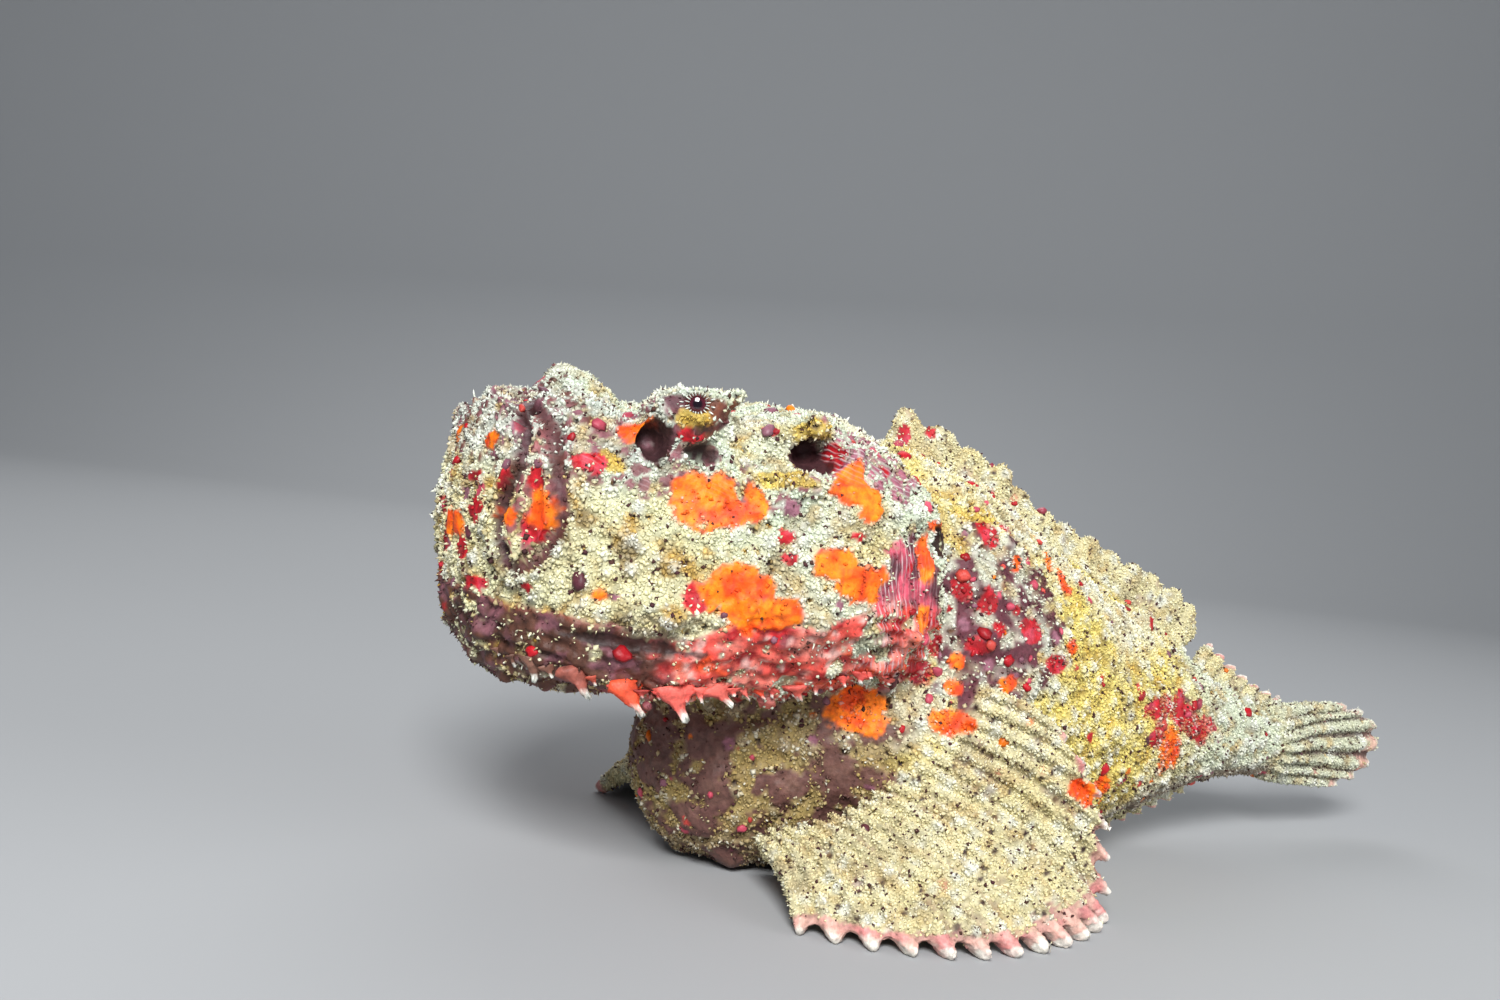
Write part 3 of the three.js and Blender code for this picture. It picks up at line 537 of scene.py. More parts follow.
# Places of markings, in mm on the left side: centre and radii
ORANGE = (
    ((-100, -46, 91), (6.5, 9, 5.5)),
    ((-95, -47, 88.5), (4.5, 8, 4.5)),
    ((-88.5, -48, 92), (2.9, 7, 4.2)),
    ((-128.6, -30, 84), (4.2, 4.4, 3.9)),
    ((-67, -51, 97), (5.5, 8, 4.2)),
    ((-63, -52, 94), (3, 7, 5)),
    ((-70, -55, 79.5), (6, 8, 3.6)),
    ((-64, -55, 76), (7, 8, 4.4)),
    ((-92, -51, 72), (7.5, 8, 5.5)),
    ((-86, -51, 68), (8, 8, 4)),
    ((-43, -48, 81), (2.6, 6, 5.5)),
    ((-42, -49.5, 68), (2.8, 6, 3)),
    ((-50, -37, 44), (7, 9, 5)),
    ((-29, -44, 44), (6, 8, 2.6)),
    ((66, -22, 31), (5, 9, 7)),
    ((33, -31, 23), (3.4, 8, 3.4)),
    ((3, -57, 30), (3.2, 7, 3.2)),
    ((-135, -10, 97), (2.4, 4, 2.4)),
    ((-138, -3, 77), (2.2, 4, 2.2)),
    ((-134, -23, 82), (1.6, 4, 1.8)),
    ((-111.5, -35, 103), (2.8, 5, 2.2)),
    ((-117, -39, 68), (1.4, 4, 1.4)),
    ((-28, -43.5, 52), (2.6, 5, 1.8)),
    ((-13, -45, 53), (3, 6, 1.6)),
    ((12, -38, 62), (2, 5, 2)),
    ((-8, -36, 81.5), (2, 5, 2.2)),
    ((10, -28, 82), (2.2, 5, 2.6)),
    ((15, -28, 77), (2.6, 5, 3.4)),
    ((-27, -43, 58), (2, 5, 2)),
    ((-38, -46, 89.5), (3.4, 5, 1.4)),
)
CRIMSON = (
    ((-103.2, -44.5, 102.6), (4, 5, 1.7)),
    ((-83, -41, 106), (2, 5, 2)),
    ((-69, -44, 101.5), (1.6, 5, 3.2)),
    ((-130, -27, 90.5), (1.6, 4, 3.2)),
    ((-135, -21, 89), (1.6, 4, 2.8)),
    ((-120.5, -35, 95), (4, 5, 2)),
    ((-129, -29, 80), (3, 4, 3)),
    ((-137, -11, 82), (2, 4, 3)),
    ((-136, -7, 89), (2, 4, 2)),
    ((-138, -6, 72), (2.6, 4, 2.4)),
    ((-137, -14, 66), (2.4, 4, 1.6)),
    ((-82, -51.6, 84.6), (2, 4, 1.6)),
    ((-81, -52.5, 80.5), (1.8, 4, 1.4)),
    ((-65, -53.5, 86), (1.8, 4, 1)),
    ((-99, -48, 70), (3, 5, 3)),
    ((-22, -3, 109), (2.2, 4, 3)),
    ((-14, -2, 111), (1.6, 4, 2.2)),
    ((-20, -42, 72.5), (2.8, 5, 3.4)),
    ((-16, -43, 66), (2.2, 5, 2.2)),
    ((-27, -41, 75), (2.2, 5, 2.6)),
    ((-22, -44, 62), (3, 5, 1.8)),
    ((-33, -43, 62), (2, 5, 3.4)),
    ((-37, -45, 55), (5, 6, 3)),
    ((-5, -42, 66), (4, 5, 3)),
    ((4, -42, 58), (3, 5, 2.4)),
    ((-18, -37, 88), (3, 5, 3)),
    ((-9, -33, 89), (2.6, 5, 2.6)),
    ((58, -22, 44), (7, 8, 4)),
    ((70, -18, 41), (7, 8, 5)),
    ((80, -17, 36), (8, 7, 4)),
    ((60, -24, 36), (5, 7, 4)),
)
# Fins with rays, in mm: root, tips, how far the middle is lifted, number and height of rays
RAYED = {
    "pectoral_fin": (
        [(-23, -41, 51), (-30, -43, 40), (-41, -43, 29), (-54, -37, 18), (-65, -27, 11)],
        [
            (-2, -54, 42),
            (9, -57, 29),
            (14, -57, 14),
            (14, -59, 1),
            (3, -68, 0),
            (-14, -75, 0),
            (-35, -77, 0),
            (-55, -70, 0),
            (-70, -56, 0),
        ],
        (0, -5, 6),
        18,
        1.7,
    ),
    "pelvic_fin": (
        [(-14, -22, 7), (8, -20, 7)],
        [(-8, -41, 0.3), (3, -46, 0), (15, -46, 0), (26, -40, 0.5), (32, -29, 2)],
        (0, 0, 3),
        6,
        1.7,
    ),
    "caudal_fin": (
        [(124, 0, 38.5), (124, 0, 18.5)],
        [(158, 0, 40), (170, 0, 37), (176, 0, 31), (176, 0, 26), (170, 0, 19), (158, 0, 15)],
        (0, 0, 0),
        7,
        2.8,
    ),
    "dorsal_fin_soft": (
        [(89, 0, 47), (105, 0, 41), (121, 0, 36)],
        [(97, 0, 58.5), (105, 0, 53), (117, 0, 46.5), (130, 0, 42)],
        (0, 0, 1),
        7,
        1.7,
    ),
    "anal_fin": (
        [(47, 0, 9), (66, 0, 14), (87, 0, 19)],
        [(54, 0, 3.5), (62, 0, 3), (77, 0, 7), (94, 0, 13)],
        (0, 0, -1),
        8,
        1.7,
    ),
}
# Painted shade: dark patches in the pit behind the eye, the hollows before and below the eye, the crease under the
# eye's pouch, the hollow behind the gill cover's angle and the groove under the cheek; centre and radii in mm on the
# left side
HOLLOW_SHADE = (
    ((-72.8, -42, 101.2), (3.2, 8, 3.4)),
    ((-109, -37.5, 101.6), (2.4, 6, 3.8)),
    ((-100, -42, 99.8), (3.9, 5, 1.3)),
    ((-101, -44, 104.4), (3.2, 5, 0.8)),
    ((-36.5, -44, 86), (2.2, 5, 2.8)),
    ((-113, -43, 58.5), (17, 9, 1.1)),
)
YELLOW = (
    ((-103, -44, 106.8), (3.4, 5, 2.4)),
    ((-74, -42, 107), (5, 6, 3.4)),
    ((-80, -47, 96.5), (8, 6, 2)),
    ((-24, -37, 97), (6, 6, 3.4)),
    ((-16, -35, 93), (7, 6, 2.6)),
    ((-117, -37, 97), (3, 5, 2.6)),
)

CREAM = srgb(0.95, 0.93, 0.80)
PALE_GREEN = srgb(0.87, 0.92, 0.82)
STRAW = srgb(0.87, 0.78, 0.45)
LEMON = srgb(0.97, 0.89, 0.50)
OCHRE = srgb(0.80, 0.62, 0.20)
OLIVE = srgb(0.36, 0.29, 0.18)
MAUVE = srgb(0.56, 0.36, 0.42)
SLATE = srgb(0.45, 0.42, 0.44)
PURPLE = srgb(0.36, 0.17, 0.21)
BROWN = srgb(0.40, 0.25, 0.19)
DARK_BROWN = srgb(0.16, 0.09, 0.08)
CRIMSON_RED = srgb(0.72, 0.08, 0.13)
ROSE = srgb(0.78, 0.30, 0.38)
CORAL = srgb(0.84, 0.30, 0.26)
SALMON = srgb(0.88, 0.52, 0.46)
ORANGE_DEEP = srgb(0.93, 0.31, 0.03)
ORANGE_BRIGHT = srgb(1.0, 0.50, 0.04)
BELLY = srgb(0.50, 0.37, 0.32)
FIN_TIP = srgb(0.86, 0.68, 0.62)
WHITE_TIP = srgb(0.97, 0.98, 0.93)
FROST = srgb(0.86, 0.89, 0.86)
MAROON = srgb(0.27, 0.07, 0.13)
PUPIL_BLACK = srgb(0.07, 0.03, 0.07)
RUSSET = srgb(0.50, 0.27, 0.17)
# dark of the pits in the crust: partly their own colour, partly painted shade
PIT_COLOUR = srgb(0.20, 0.12, 0.12)


def patches(places, points, spread, seed):
    """1 inside any of the listed ellipsoids, with ragged edges."""
    ragged = spread * layered(points, 3.4, seed, 3) + 0.2 * noise(points, 1.4, seed + 9)
    best = np.full(len(points), 9.0)
    for centre, radii in places:
        best = np.minimum(best, inside(points, centre, radii))
    return ramp(-(best + ragged), -1.12, -0.92)


def blend(colours, other, weight):
    return mix(colours, other, weight[:, None])


def zones(skin):
    """Zones of the skin, each from 0 to 1, by place."""
    p = left_side(skin.points)
    far = np.where(skin.points[:, 1:2] > 0, 300.0, 0.0)
    q = p + far
    warp = np.stack([layered(q, 12.0, 5 + k, 3) for k in range(3)], axis=1) * 3.2
    w = p + warp
    skin.head = skin.head_node
    skin.tip = ramp(skin.ray_v + 0.03 * warp[:, 0], 0.80, 0.93) * skin.fin
    # breast: the trunk under the head, painted darker as shade
    skin.breast = ramp(-w[:, 0], 36, 46) * ramp(-w[:, 2], -62, -50) * skin.trunk
    skin.rim = rim_line(skin.points, skin.head_node)
    rim_height = np.interp(p[:, 0], skin.rim[:, 0], skin.rim[:, 2])
    skin.above_rim = p[:, 2] - rim_height
    reach = mix(14.0, 19.0, ramp(p[:, 0], -108, -88))
    skin.band = ramp(reach - skin.above_rim - 0.9 * warp[:, 2], 0, 4) * skin.head
    skin.front_band = skin.band * ramp(-w[:, 0] + 9 * layered(q, 4.5, 255, 3), 97, 113)
    frayed = 0.2 * noise(q, 3.2, 250) + 0.14 * noise(q, 1.5, 251)

    def zone(centre, radii, low=0.8, high=1.15):
        return 1 - ramp(inside(w, centre, radii) + frayed, low, high)

    skin.opercle = zone((-47, -49, 68), (14, 11, 19)) * skin.head
    skin.streaked = zone((-57, -42, 102), (22, 15, 9)) * skin.head
    skin.bare = zone((-100, -44, 94.5), (32, 14, 6), 0.7, 1.2) * skin.head
    skin.purple = zone((-16, -44, 68), (27, 22, 24)) * skin.trunk
    skin.peduncle = zone((66, -20, 40), (22, 18, 9), 0.7, 1.2) * skin.trunk
    skin.saddle = zone((-8, -28, 92), (36, 26, 18)) * skin.trunk
    # under: faces that turn down, painted darker and duller as shade
    skin.under = ramp(-skin.normals[:, 2], 0.35, 0.8) * (1 - skin.fin) * (1 - 0.8 * skin.band)
    skin.orange = patches(ORANGE, p + 0.4 * warp, 0.42, 200)
    skin.crimson = patches(CRIMSON, p + 0.4 * warp, 0.42, 220) * (1 - skin.orange)
    spot, _, kind = cells(q, 6.5, 260)
    size = mix(0.12, 0.3, hashed(np.floor(kind * 997)[:, None] * [1, 2, 3], 7))
    thick = 0.16 + 0.4 * np.clip(skin.purple + skin.peduncle, 0, 1) + 0.25 * skin.saddle
    chosen = hashed(np.floor(kind * 9973)[:, None] * [3, 1, 2], 8) < thick
    edge = spot + 0.07 * noise(q, 1.2, 270)
    skin.spot = ramp(-(edge - size), -0.03, 0.03) * chosen * (1 - skin.fin * 0.6)
    skin.spot_kind = kind
    first, second, _ = cells(q, 3.4, 280)
    skin.net = ramp(-(second - first + 0.14 * noise(q, 1.4, 285)), -0.3, -0.1)
    # dark: painted shade in the hollows
    skin.dark = patches(HOLLOW_SHADE, p + 0.25 * warp, 0.42, 240)
    skin.seed_points = q


def crust_colour(skin, n1, wide):
    """Colour of the crust: ochre and olive stains at random, near white on its crests as a painted highlight, and
    ochre and olive in its hollows as painted shade.
    """
    q = skin.seed_points
    crust = mix(CREAM, PALE_GREEN, ramp(wide, 0.3, 0.7)[:, None])
    crust = blend(crust, STRAW, 0.6 * ramp(n1, 0.55, 0.8))
    golden = mix(LEMON, CREAM, ramp(wide, 0.4, 0.75)[:, None])
    golden = blend(golden, mix(CREAM, PALE_GREEN, 0.7), ramp(skin.points[:, 0], 62, 92))
    crust = blend(crust, golden, skin.trunk)
    crust = blend(crust, mix(CREAM, LEMON, 0.2 + 0.5 * n1[:, None]), skin.fin)
    tail_fin = ramp(skin.points[:, 0], 118, 130)
    crust = blend(crust, mix(CREAM, PALE_GREEN, 0.7), tail_fin)
    crust = blend(crust, FROST, 0.8 * skin.purple)
    snout = ramp(-skin.points[:, 0], 96, 112) * ramp(skin.points[:, 2], 88, 98) * skin.head
    crust = blend(crust, FROST, 0.7 * snout)
    # low: ochre and olive, used for real stains and for painted shade in the hollows
    low = mix(OCHRE, OLIVE, 0.8 * ramp(layered(q, 6.0, 410, 2), -0.2, 0.4)[:, None])
    cheek = ramp(-skin.points[:, 0], 78, 104) * ramp(-skin.points[:, 2], -96, -86) * skin.head
    crust = blend(crust, mix(CREAM, LEMON, 0.5), 0.55 * cheek)
    stain = ramp(layered(q, 4.2, 400, 3), 0.0, 0.4)
    crust = blend(crust, low, (0.55 + 0.25 * cheek) * stain)
    # painted shade: ochre and olive in the low places of the relief
    crust = blend(low, crust, ramp(skin.relief, 0.05, 0.34))
    crust = blend(crust, CREAM, 0.3 * skin.fin)
    # painted highlight: near white on the crests of the relief
    return blend(crust, WHITE_TIP, 0.8 * ramp(skin.relief, 0.42, 0.85))


def painted(skin):
    """Colours of the bare skin and of the crust on it, and how much of the skin the crust covers."""
    q = skin.seed_points
    n1 = layered(q, 9.0, 300, 3) * 0.5 + 0.5
    n2 = layered(q, 5.0, 320, 3) * 0.5 + 0.5
    n3 = layered(q, 2.2, 340, 2) * 0.5 + 0.5
    wide = layered(q, 22.0, 360, 3) * 0.5 + 0.5
    tail_end = ramp(skin.points[:, 0], 70, 105)
    crust = crust_colour(skin, n1, wide)
    skin_colour = mix(BROWN, MAUVE, ramp(n1, 0.35, 0.7)[:, None])
    cover = mix(0.62, 1.0, ramp(n2, 0.2, 0.5))
    snout = ramp(-skin.points[:, 0], 92, 108) * ramp(skin.points[:, 2], 86, 96) * skin.head
    cover = mix(cover, ramp(n2, 0.38, 0.66), 0.8 * snout)
    # trunk and tail
    skin_colour = blend(skin_colour, mix(OLIVE, BROWN, n1[:, None]), skin.trunk)
    skin_colour = blend(skin_colour, SLATE * 0.7, tail_end * skin.trunk)
    cover = mix(cover, mix(0.5, 1.0, ramp(n2, 0.3, 0.5)), skin.trunk)
    for zone, colour, left in (
        (skin.bare, mix(MAUVE, BROWN, n1[:, None]), 0.34),
        (skin.streaked, mix(MAUVE, ROSE, 0.4 * n2[:, None]), 0.22),
        (skin.purple, mix(PURPLE, CRIMSON_RED, ramp(n2, 0.5, 0.8)[:, None]), 0.36),
        (skin.peduncle, mix(PURPLE, CRIMSON_RED, ramp(n2, 0.4, 0.8)[:, None]), 0.5),
        (skin.opercle, mix(ROSE, PURPLE, ramp(n2, 0.35, 0.7)[:, None]), 0.05),
        (skin.maxilla, mix(RUSSET, MAUVE, n2[:, None]), 0.4),
    ):
        skin_colour = blend(skin_colour, colour, zone)
        cover = mix(cover, left * mix(0.3, 1.7, ramp(n2, 0.25, 0.75)), zone)
    netted = np.clip(0.9 * snout + 0.9 * skin.bare + 0.5 * skin.streaked + 0.7 * skin.maxilla, 0, 1)
    cover = mix(cover, np.maximum(0.6 * cover, 0.85 * skin.net), netted)
    coral = mix(CORAL, SALMON, ramp(n2, 0.35, 0.8)[:, None])
    coral = blend(coral, CRIMSON_RED, ramp(n1, 0.5, 0.8))
    fleck = layered(q, 3.4, 385, 3)
    coral = blend(coral, CRIMSON_RED * 0.8, ramp(fleck, 0.15, 0.4))
    coral = blend(coral, PURPLE, 0.8 * ramp(-fleck, 0.2, 0.5))
    coral = blend(coral, ORANGE_DEEP, 0.8 * ramp(layered(q, 5.0, 380, 2), 0.2, 0.5))
    coral = blend(coral, mix(SALMON, FROST, 0.5), 0.7 * ramp(layered(q, 1.9, 383, 2), 0.15, 0.5))
    front = mix(mix(DARK_BROWN, BROWN, n2[:, None]), MAUVE, 0.5 * ramp(fleck, 0.0, 0.4)[:, None])
    coral = blend(coral, front, skin.front_band)
    skin_colour = blend(skin_colour, coral, skin.band)
    cover = mix(cover, 0.12 + 0.5 * ramp(layered(q, 4.0, 390, 3), 0.05, 0.4), skin.band)
    # painted shade on the faces that turn down: darker, duller colours and crust over half the skin
    beneath = mix(BELLY, BROWN, n1[:, None])
    skin_colour = blend(skin_colour, beneath, skin.under)
    crust = blend(crust, mix(BELLY, CREAM, 0.35), skin.under)
    cover = mix(cover, 0.5, skin.under)
    # fins
    fin_skin = mix(BROWN, MAUVE, n2[:, None])
    skin_colour = blend(skin_colour, fin_skin, skin.fin * (1 - skin.spiny))
    cover = mix(cover, mix(0.45, 1.0, ramp(n2 + 0.25 * skin.ridge, 0.35, 0.65)), skin.fin)
    tips = mix(FIN_TIP, ROSE, 0.5 * ramp(n2, 0.4, 0.7)[:, None]) * mix(0.75, 1.05, skin.ridge)[:, None]
    ends = ramp(skin.ray_v + 0.02 * noise(q, 2.0, 395), 0.93, 0.98) * skin.fin
    skin_colour = blend(skin_colour, tips, skin.tip)
    skin_colour = blend(skin_colour, WHITE_TIP * 0.9, 0.8 * ends)
    tail_fin = ramp(skin.points[:, 0], 126, 134)
    cover = cover * (1 - 0.9 * skin.tip * (1 - 0.3 * tail_fin))
    between = ramp(-skin.ridge, -0.3, -0.05) * skin.fin * tail_fin
    skin_colour = blend(skin_colour, DARK_BROWN, 0.8 * between)
    crust = blend(crust, PURPLE, 0.7 * between)
    # breast under the head: painted shade, darker and duller with less crust
    skin_colour = blend(skin_colour, mix(BELLY, PURPLE, n2[:, None]) * 0.8, skin.breast)
    crust = blend(crust, mix(BELLY, STRAW, 0.35), 0.8 * skin.breast)
    cover = mix(cover, 0.6 * ramp(n2 + 0.4 * (n3 - 0.5), 0.25, 0.65), skin.breast)
    # round the eye
    lid = 1 - ramp(skin.from_eye, 6.5, 9)
    high = ramp(skin.points[:, 2], 110, 113.5)
    skin_colour = blend(skin_colour, mix(RUSSET, PURPLE, ramp(n2, 0.3, 0.7)[:, None]) * 0.7, lid)
    cover = mix(cover, mix(0.12, 0.8, high), lid)
    yellow = patches(YELLOW, left_side(skin.points), 0.35, 260)
    crust = blend(crust, mix(OCHRE, LEMON, n2[:, None]), yellow)
    skin_colour = blend(skin_colour, OCHRE, yellow)
    cover = np.maximum(cover, 0.6 * yellow)
    # spots over all
    mottle = layered(q, 2.6, 430, 3)
    spots = mix(CRIMSON_RED * 0.55, CRIMSON_RED, ramp(mottle, -0.5, 0.1)[:, None])
    spots = blend(spots, ROSE, 0.7 * ramp(mottle, 0.1, 0.6))
    small = np.array([CRIMSON_RED, ROSE, MAUVE, CRIMSON_RED, CORAL, ROSE, MAUVE, ORANGE_BRIGHT])
    small = small[(skin.spot_kind * 7.99).astype(int)] * mix(0.75, 1.1, n3)[:, None]
    orange = mix(ORANGE_DEEP, ORANGE_BRIGHT, ramp(layered(q, 3.0, 420, 3), -0.35, 0.25)[:, None])
    # painted shade along the mouth's line and the edge of the upper jaw
    groove = np.exp(-((skin.gape / 1.2) ** 2)) + 0.8 * np.exp(-((skin.jaw / 0.7) ** 2))
    groove = np.clip(groove, 0, 1)
    vein = ramp(1 - np.abs(noise(q * (1.0, 1.0, 0.6), 2.6, 425)), 0.8, 1.0)
    orange = blend(orange, CRIMSON_RED, 0.45 * vein)
    crust = blend(crust, orange * 1.1, skin.orange)
    crust = blend(crust, spots * 1.2, 0.8 * skin.crimson * skin.trunk)
    smooth_skin = 1 - 0.8 * skin.trunk
    bald = ramp(layered(q, 3.0, 428, 2), -0.5, 0.1)
    cover = cover * (1 - mix(0.6, 0.95, bald) * ramp(skin.orange, 0.3, 0.7) * smooth_skin) * (1 - skin.dark)
    cover = cover * (1 - 0.75 * skin.crimson * smooth_skin)
    cover = cover * (1 - groove) * (1 - 0.85 * skin.spot)
    skin.crusted = ramp(cover, 0.25, 0.6)
    # painted shade: the skin under the crust takes the crust's colour darkened, as between the crumbs
    skin_colour = blend(skin_colour, crust * 0.6, skin.crusted)
    # the pits: dark, partly their own colour and partly painted shade
    skin_colour = blend(skin_colour, PIT_COLOUR, skin.pits * skin.crusted)
    skin_colour = blend(skin_colour, small, skin.spot * (1 - skin.band * 0.5))
    skin_colour = blend(skin_colour, spots, skin.crimson)
    skin_colour = blend(skin_colour, orange, skin.orange)
    # painted shade: dark brown in the hollows and along the grooves of the mouth and the upper jaw
    skin_colour = blend(skin_colour, DARK_BROWN, np.maximum(0.9 * skin.dark, 0.85 * groove))
    cover = cover * (1 - skin.pits)
    skin_colour = skin_colour * mix(0.75, 1.2, n3)[:, None]
    return np.clip(skin_colour, 0, 1), np.clip(crust, 0, 1), np.clip(cover, 0, 1)


def quadratic(start, middle, end, t):
    return (1 - t) ** 2 * start + 2 * t * (1 - t) * middle + t**2 * end


def fin_map(root, tips, lift):
    """Places over a fin, with how far each is along the root and along its ray."""
    root_curve = even_curve(root)
    tip_curve = even_curve(tips)
    places, marks = [], []
    for u in np.linspace(0, 1, 150):
        start, end = root_curve(u), tip_curve(u)
        middle = (start + end) / 2 + np.array(lift)
        for v in np.linspace(0, 1, 36):
            places.append(quadratic(start, middle, end, v))
            marks.append((u, v))
    return np.array(places), np.array(marks)


def even_curve(points):
    """A curve through given points, followed by its length from 0 to 1."""
    line = curve_points(points)
    steps = np.linalg.norm(np.diff(line, axis=0), axis=1)
    travelled = np.concatenate([[0], np.cumsum(steps)]) / steps.sum()
    return lambda t: np.array([np.interp(t, travelled, line[:, k]) for k in range(3)])


def rays(skin):
    """The ray coordinates of the fins: place along the root, place along the ray, number of rays."""
    skin.ray_u = np.zeros(len(skin.points))
    skin.ray_v = np.zeros(len(skin.points))
    skin.ray_count = np.zeros(len(skin.points))
    skin.ray_height = np.zeros(len(skin.points))
    for name, (root, tips, lift, count, height) in RAYED.items():
        places, marks = fin_map(root, tips, lift)
        tree = KDTree(len(places))
        for k, place in enumerate(places):
            tree.insert(Vector(place), k)
        tree.balance()
        chosen = np.flatnonzero(np.isin(skin.owner, [k for k, n in enumerate(FLESH) if n.startswith(name)]))
        folded = left_side(skin.points[chosen])
        found = np.array([tree.find(Vector(p))[1] for p in folded], int)
        skin.ray_u[chosen] = marks[found, 0]
        skin.ray_v[chosen] = marks[found, 1]
        skin.ray_count[chosen] = count
        skin.ray_height[chosen] = height
    ridge = np.cos(math.pi * skin.ray_u * (skin.ray_count - 1)) ** 2
    skin.ridge = np.where(skin.ray_count > 0, ridge, 0.5)


def build_skin():
    made = Skin()
    carved(made)
    rays(made)
    zones(made)
    relief_fields(made)
    made.colour, made.crust, made.cover = painted(made)
    by_eye = 1 - ramp(made.from_eye, 6, 12)
    made.move(-mix(mix(BODY_SINK, FIN_SINK, made.fin), 0.1, by_eye))
    lumped(made)
    made.points = in_box(made.points)
    made.normals = vertex_normals(made.points, made.quads)
    return made


# Materials. Scales are in cells to a metre.
STRIPE_WIDTH = 1.1
STRIPE_WAVER = 200.0
STRIPE_COLOUR = (0.58, 0.44, 0.46, 1)


def node(tree, kind, **values):
    made = tree.nodes.new(kind)
    for name, value in values.items():
        if name in made.inputs:
            made.inputs[name].default_value = value
        else:
            setattr(made, name, value)
    return made


def living_material(name, roughness, grain, depth, variation, striped=False):
    """Colour from the mesh's own markings, broken up by fine grain, with bump of the same grain."""
    material = bpy.data.materials.new(name)
    material.use_nodes = True
    tree = material.node_tree
    shader = tree.nodes["Principled BSDF"]
    link = tree.links.new
    place = node(tree, "ShaderNodeTexCoord").outputs["Object"]
    marks = node(tree, "ShaderNodeVertexColor", layer_name="Markings").outputs["Color"]
    fine = node(tree, "ShaderNodeTexNoise", Scale=grain, Detail=5.0, Roughness=0.65)
    link(place, fine.inputs["Vector"])
    spread = node(tree, "ShaderNodeMapRange")
    spread.inputs["From Min"].default_value = 0.3
    spread.inputs["From Max"].default_value = 0.7
    spread.inputs["To Min"].default_value = 1 - variation
    spread.inputs["To Max"].default_value = 1 + variation
    link(fine.outputs["Fac"], spread.inputs["Value"])
    scaled = node(tree, "ShaderNodeVectorMath", operation="SCALE")
    link(marks, scaled.inputs[0])
    link(spread.outputs["Result"], scaled.inputs["Scale"])
    colour = scaled.outputs["Vector"]
    link(colour, shader.inputs["Base Color"])
    pits = node(tree, "ShaderNodeTexVoronoi", Scale=grain * 0.9)
    link(place, pits.inputs["Vector"])
    relief = node(tree, "ShaderNodeMath", operation="ADD")
    link(fine.outputs["Fac"], relief.inputs[0])
    link(pits.outputs["Distance"], relief.inputs[1])
    height = relief.outputs["Value"]
    if striped:
        phase = node(tree, "ShaderNodeAttribute", attribute_name="Stripe Place")
        share = node(tree, "ShaderNodeAttribute", attribute_name="Striped")
        waver = node(tree, "ShaderNodeTexNoise", Scale=STRIPE_WAVER, Detail=2.0)
        link(place, waver.inputs["Vector"])
        bent = node(tree, "ShaderNodeMath", operation="MULTIPLY_ADD")
        bent.inputs[1].default_value = 9.0
        link(waver.outputs["Fac"], bent.inputs[0])
        link(phase.outputs["Fac"], bent.inputs[2])
        wave = node(tree, "ShaderNodeMath", operation="SINE")
        link(bent.outputs["Value"], wave.inputs[0])
        crest = node(tree, "ShaderNodeMapRange")
        crest.inputs["From Min"].default_value = 0.1
        link(wave.outputs["Value"], crest.inputs["Value"])
        lines = node(tree, "ShaderNodeMath", operation="MULTIPLY")
        link(crest.outputs["Result"], lines.inputs[0])
        link(share.outputs["Fac"], lines.inputs[1])
        striping = node(tree, "ShaderNodeMixRGB")
        striping.inputs["Color2"].default_value = STRIPE_COLOUR
        link(lines.outputs["Value"], striping.inputs["Fac"])
        link(colour, striping.inputs["Color1"])
        link(striping.outputs["Color"], shader.inputs["Base Color"])
        raised = node(tree, "ShaderNodeMath", operation="ADD")
        link(height, raised.inputs[0])
        link(lines.outputs["Value"], raised.inputs[1])
        height = raised.outputs["Value"]
    bump = node(tree, "ShaderNodeBump", Strength=0.6, Distance=depth * MM)
    link(height, bump.inputs["Height"])
    link(bump.outputs["Normal"], shader.inputs["Normal"])
    shader.inputs["Roughness"].default_value = roughness
    shader.inputs["Specular IOR Level"].default_value = 0.35
    return material


# The coat: small closed forms set on the skin
def shard():
    """A three-sided double point, 6 triangles."""
    points = [(math.cos(t), math.sin(t), 0) for t in (0, 2 * math.pi / 3, 4 * math.pi / 3)]
    points += [(0, 0, 1), (0, 0, -0.6)]
    faces = [(0, 1, 3), (1, 2, 3), (2, 0, 3), (1, 0, 4), (2, 1, 4), (0, 2, 4)]
    return np.array(points, float), np.array(faces)


def dome():
    mesh = bmesh.new()
    bmesh.ops.create_icosphere(mesh, subdivisions=2, radius=1.0)
    points = np.array([v.co for v in mesh.verts])
    faces = np.array([[v.index for v in f.verts] for f in mesh.faces])
    mesh.free()
    return points, faces


def octahedron():
    points = np.array([(1, 0, 0), (0, 1, 0), (-1, 0, 0), (0, -1, 0), (0, 0, 1), (0, 0, -1)], float)
    faces = np.array([(0, 1, 4), (1, 2, 4), (2, 3, 4), (3, 0, 4), (1, 0, 5), (2, 1, 5), (3, 2, 5), (0, 3, 5)])
    return points, faces


def spike(sides=5, rings=((-0.35, 1.0), (0.25, 0.75), (0.65, 0.45))):
    """A tapered spine of unit length on +Z."""
    points = []
    for z, radius in rings:
        for k in range(sides):
            turn = 2 * math.pi * k / sides
            points.append((radius * math.cos(turn), radius * math.sin(turn), z))
    top = len(points)
    points.append((0, 0, 1))
    points.append((0, 0, rings[0][0]))
    faces = []
    for r in range(len(rings) - 1):
        for k in range(sides):
            a, b = r * sides + k, r * sides + (k + 1) % sides
            faces += [(a, b, b + sides), (a, b + sides, a + sides)]
    last = (len(rings) - 1) * sides
    for k in range(sides):
        faces.append((last + k, last + (k + 1) % sides, top))
        faces.append(((k + 1) % sides, k, top + 1))
    return np.array(points, float), np.array(faces)


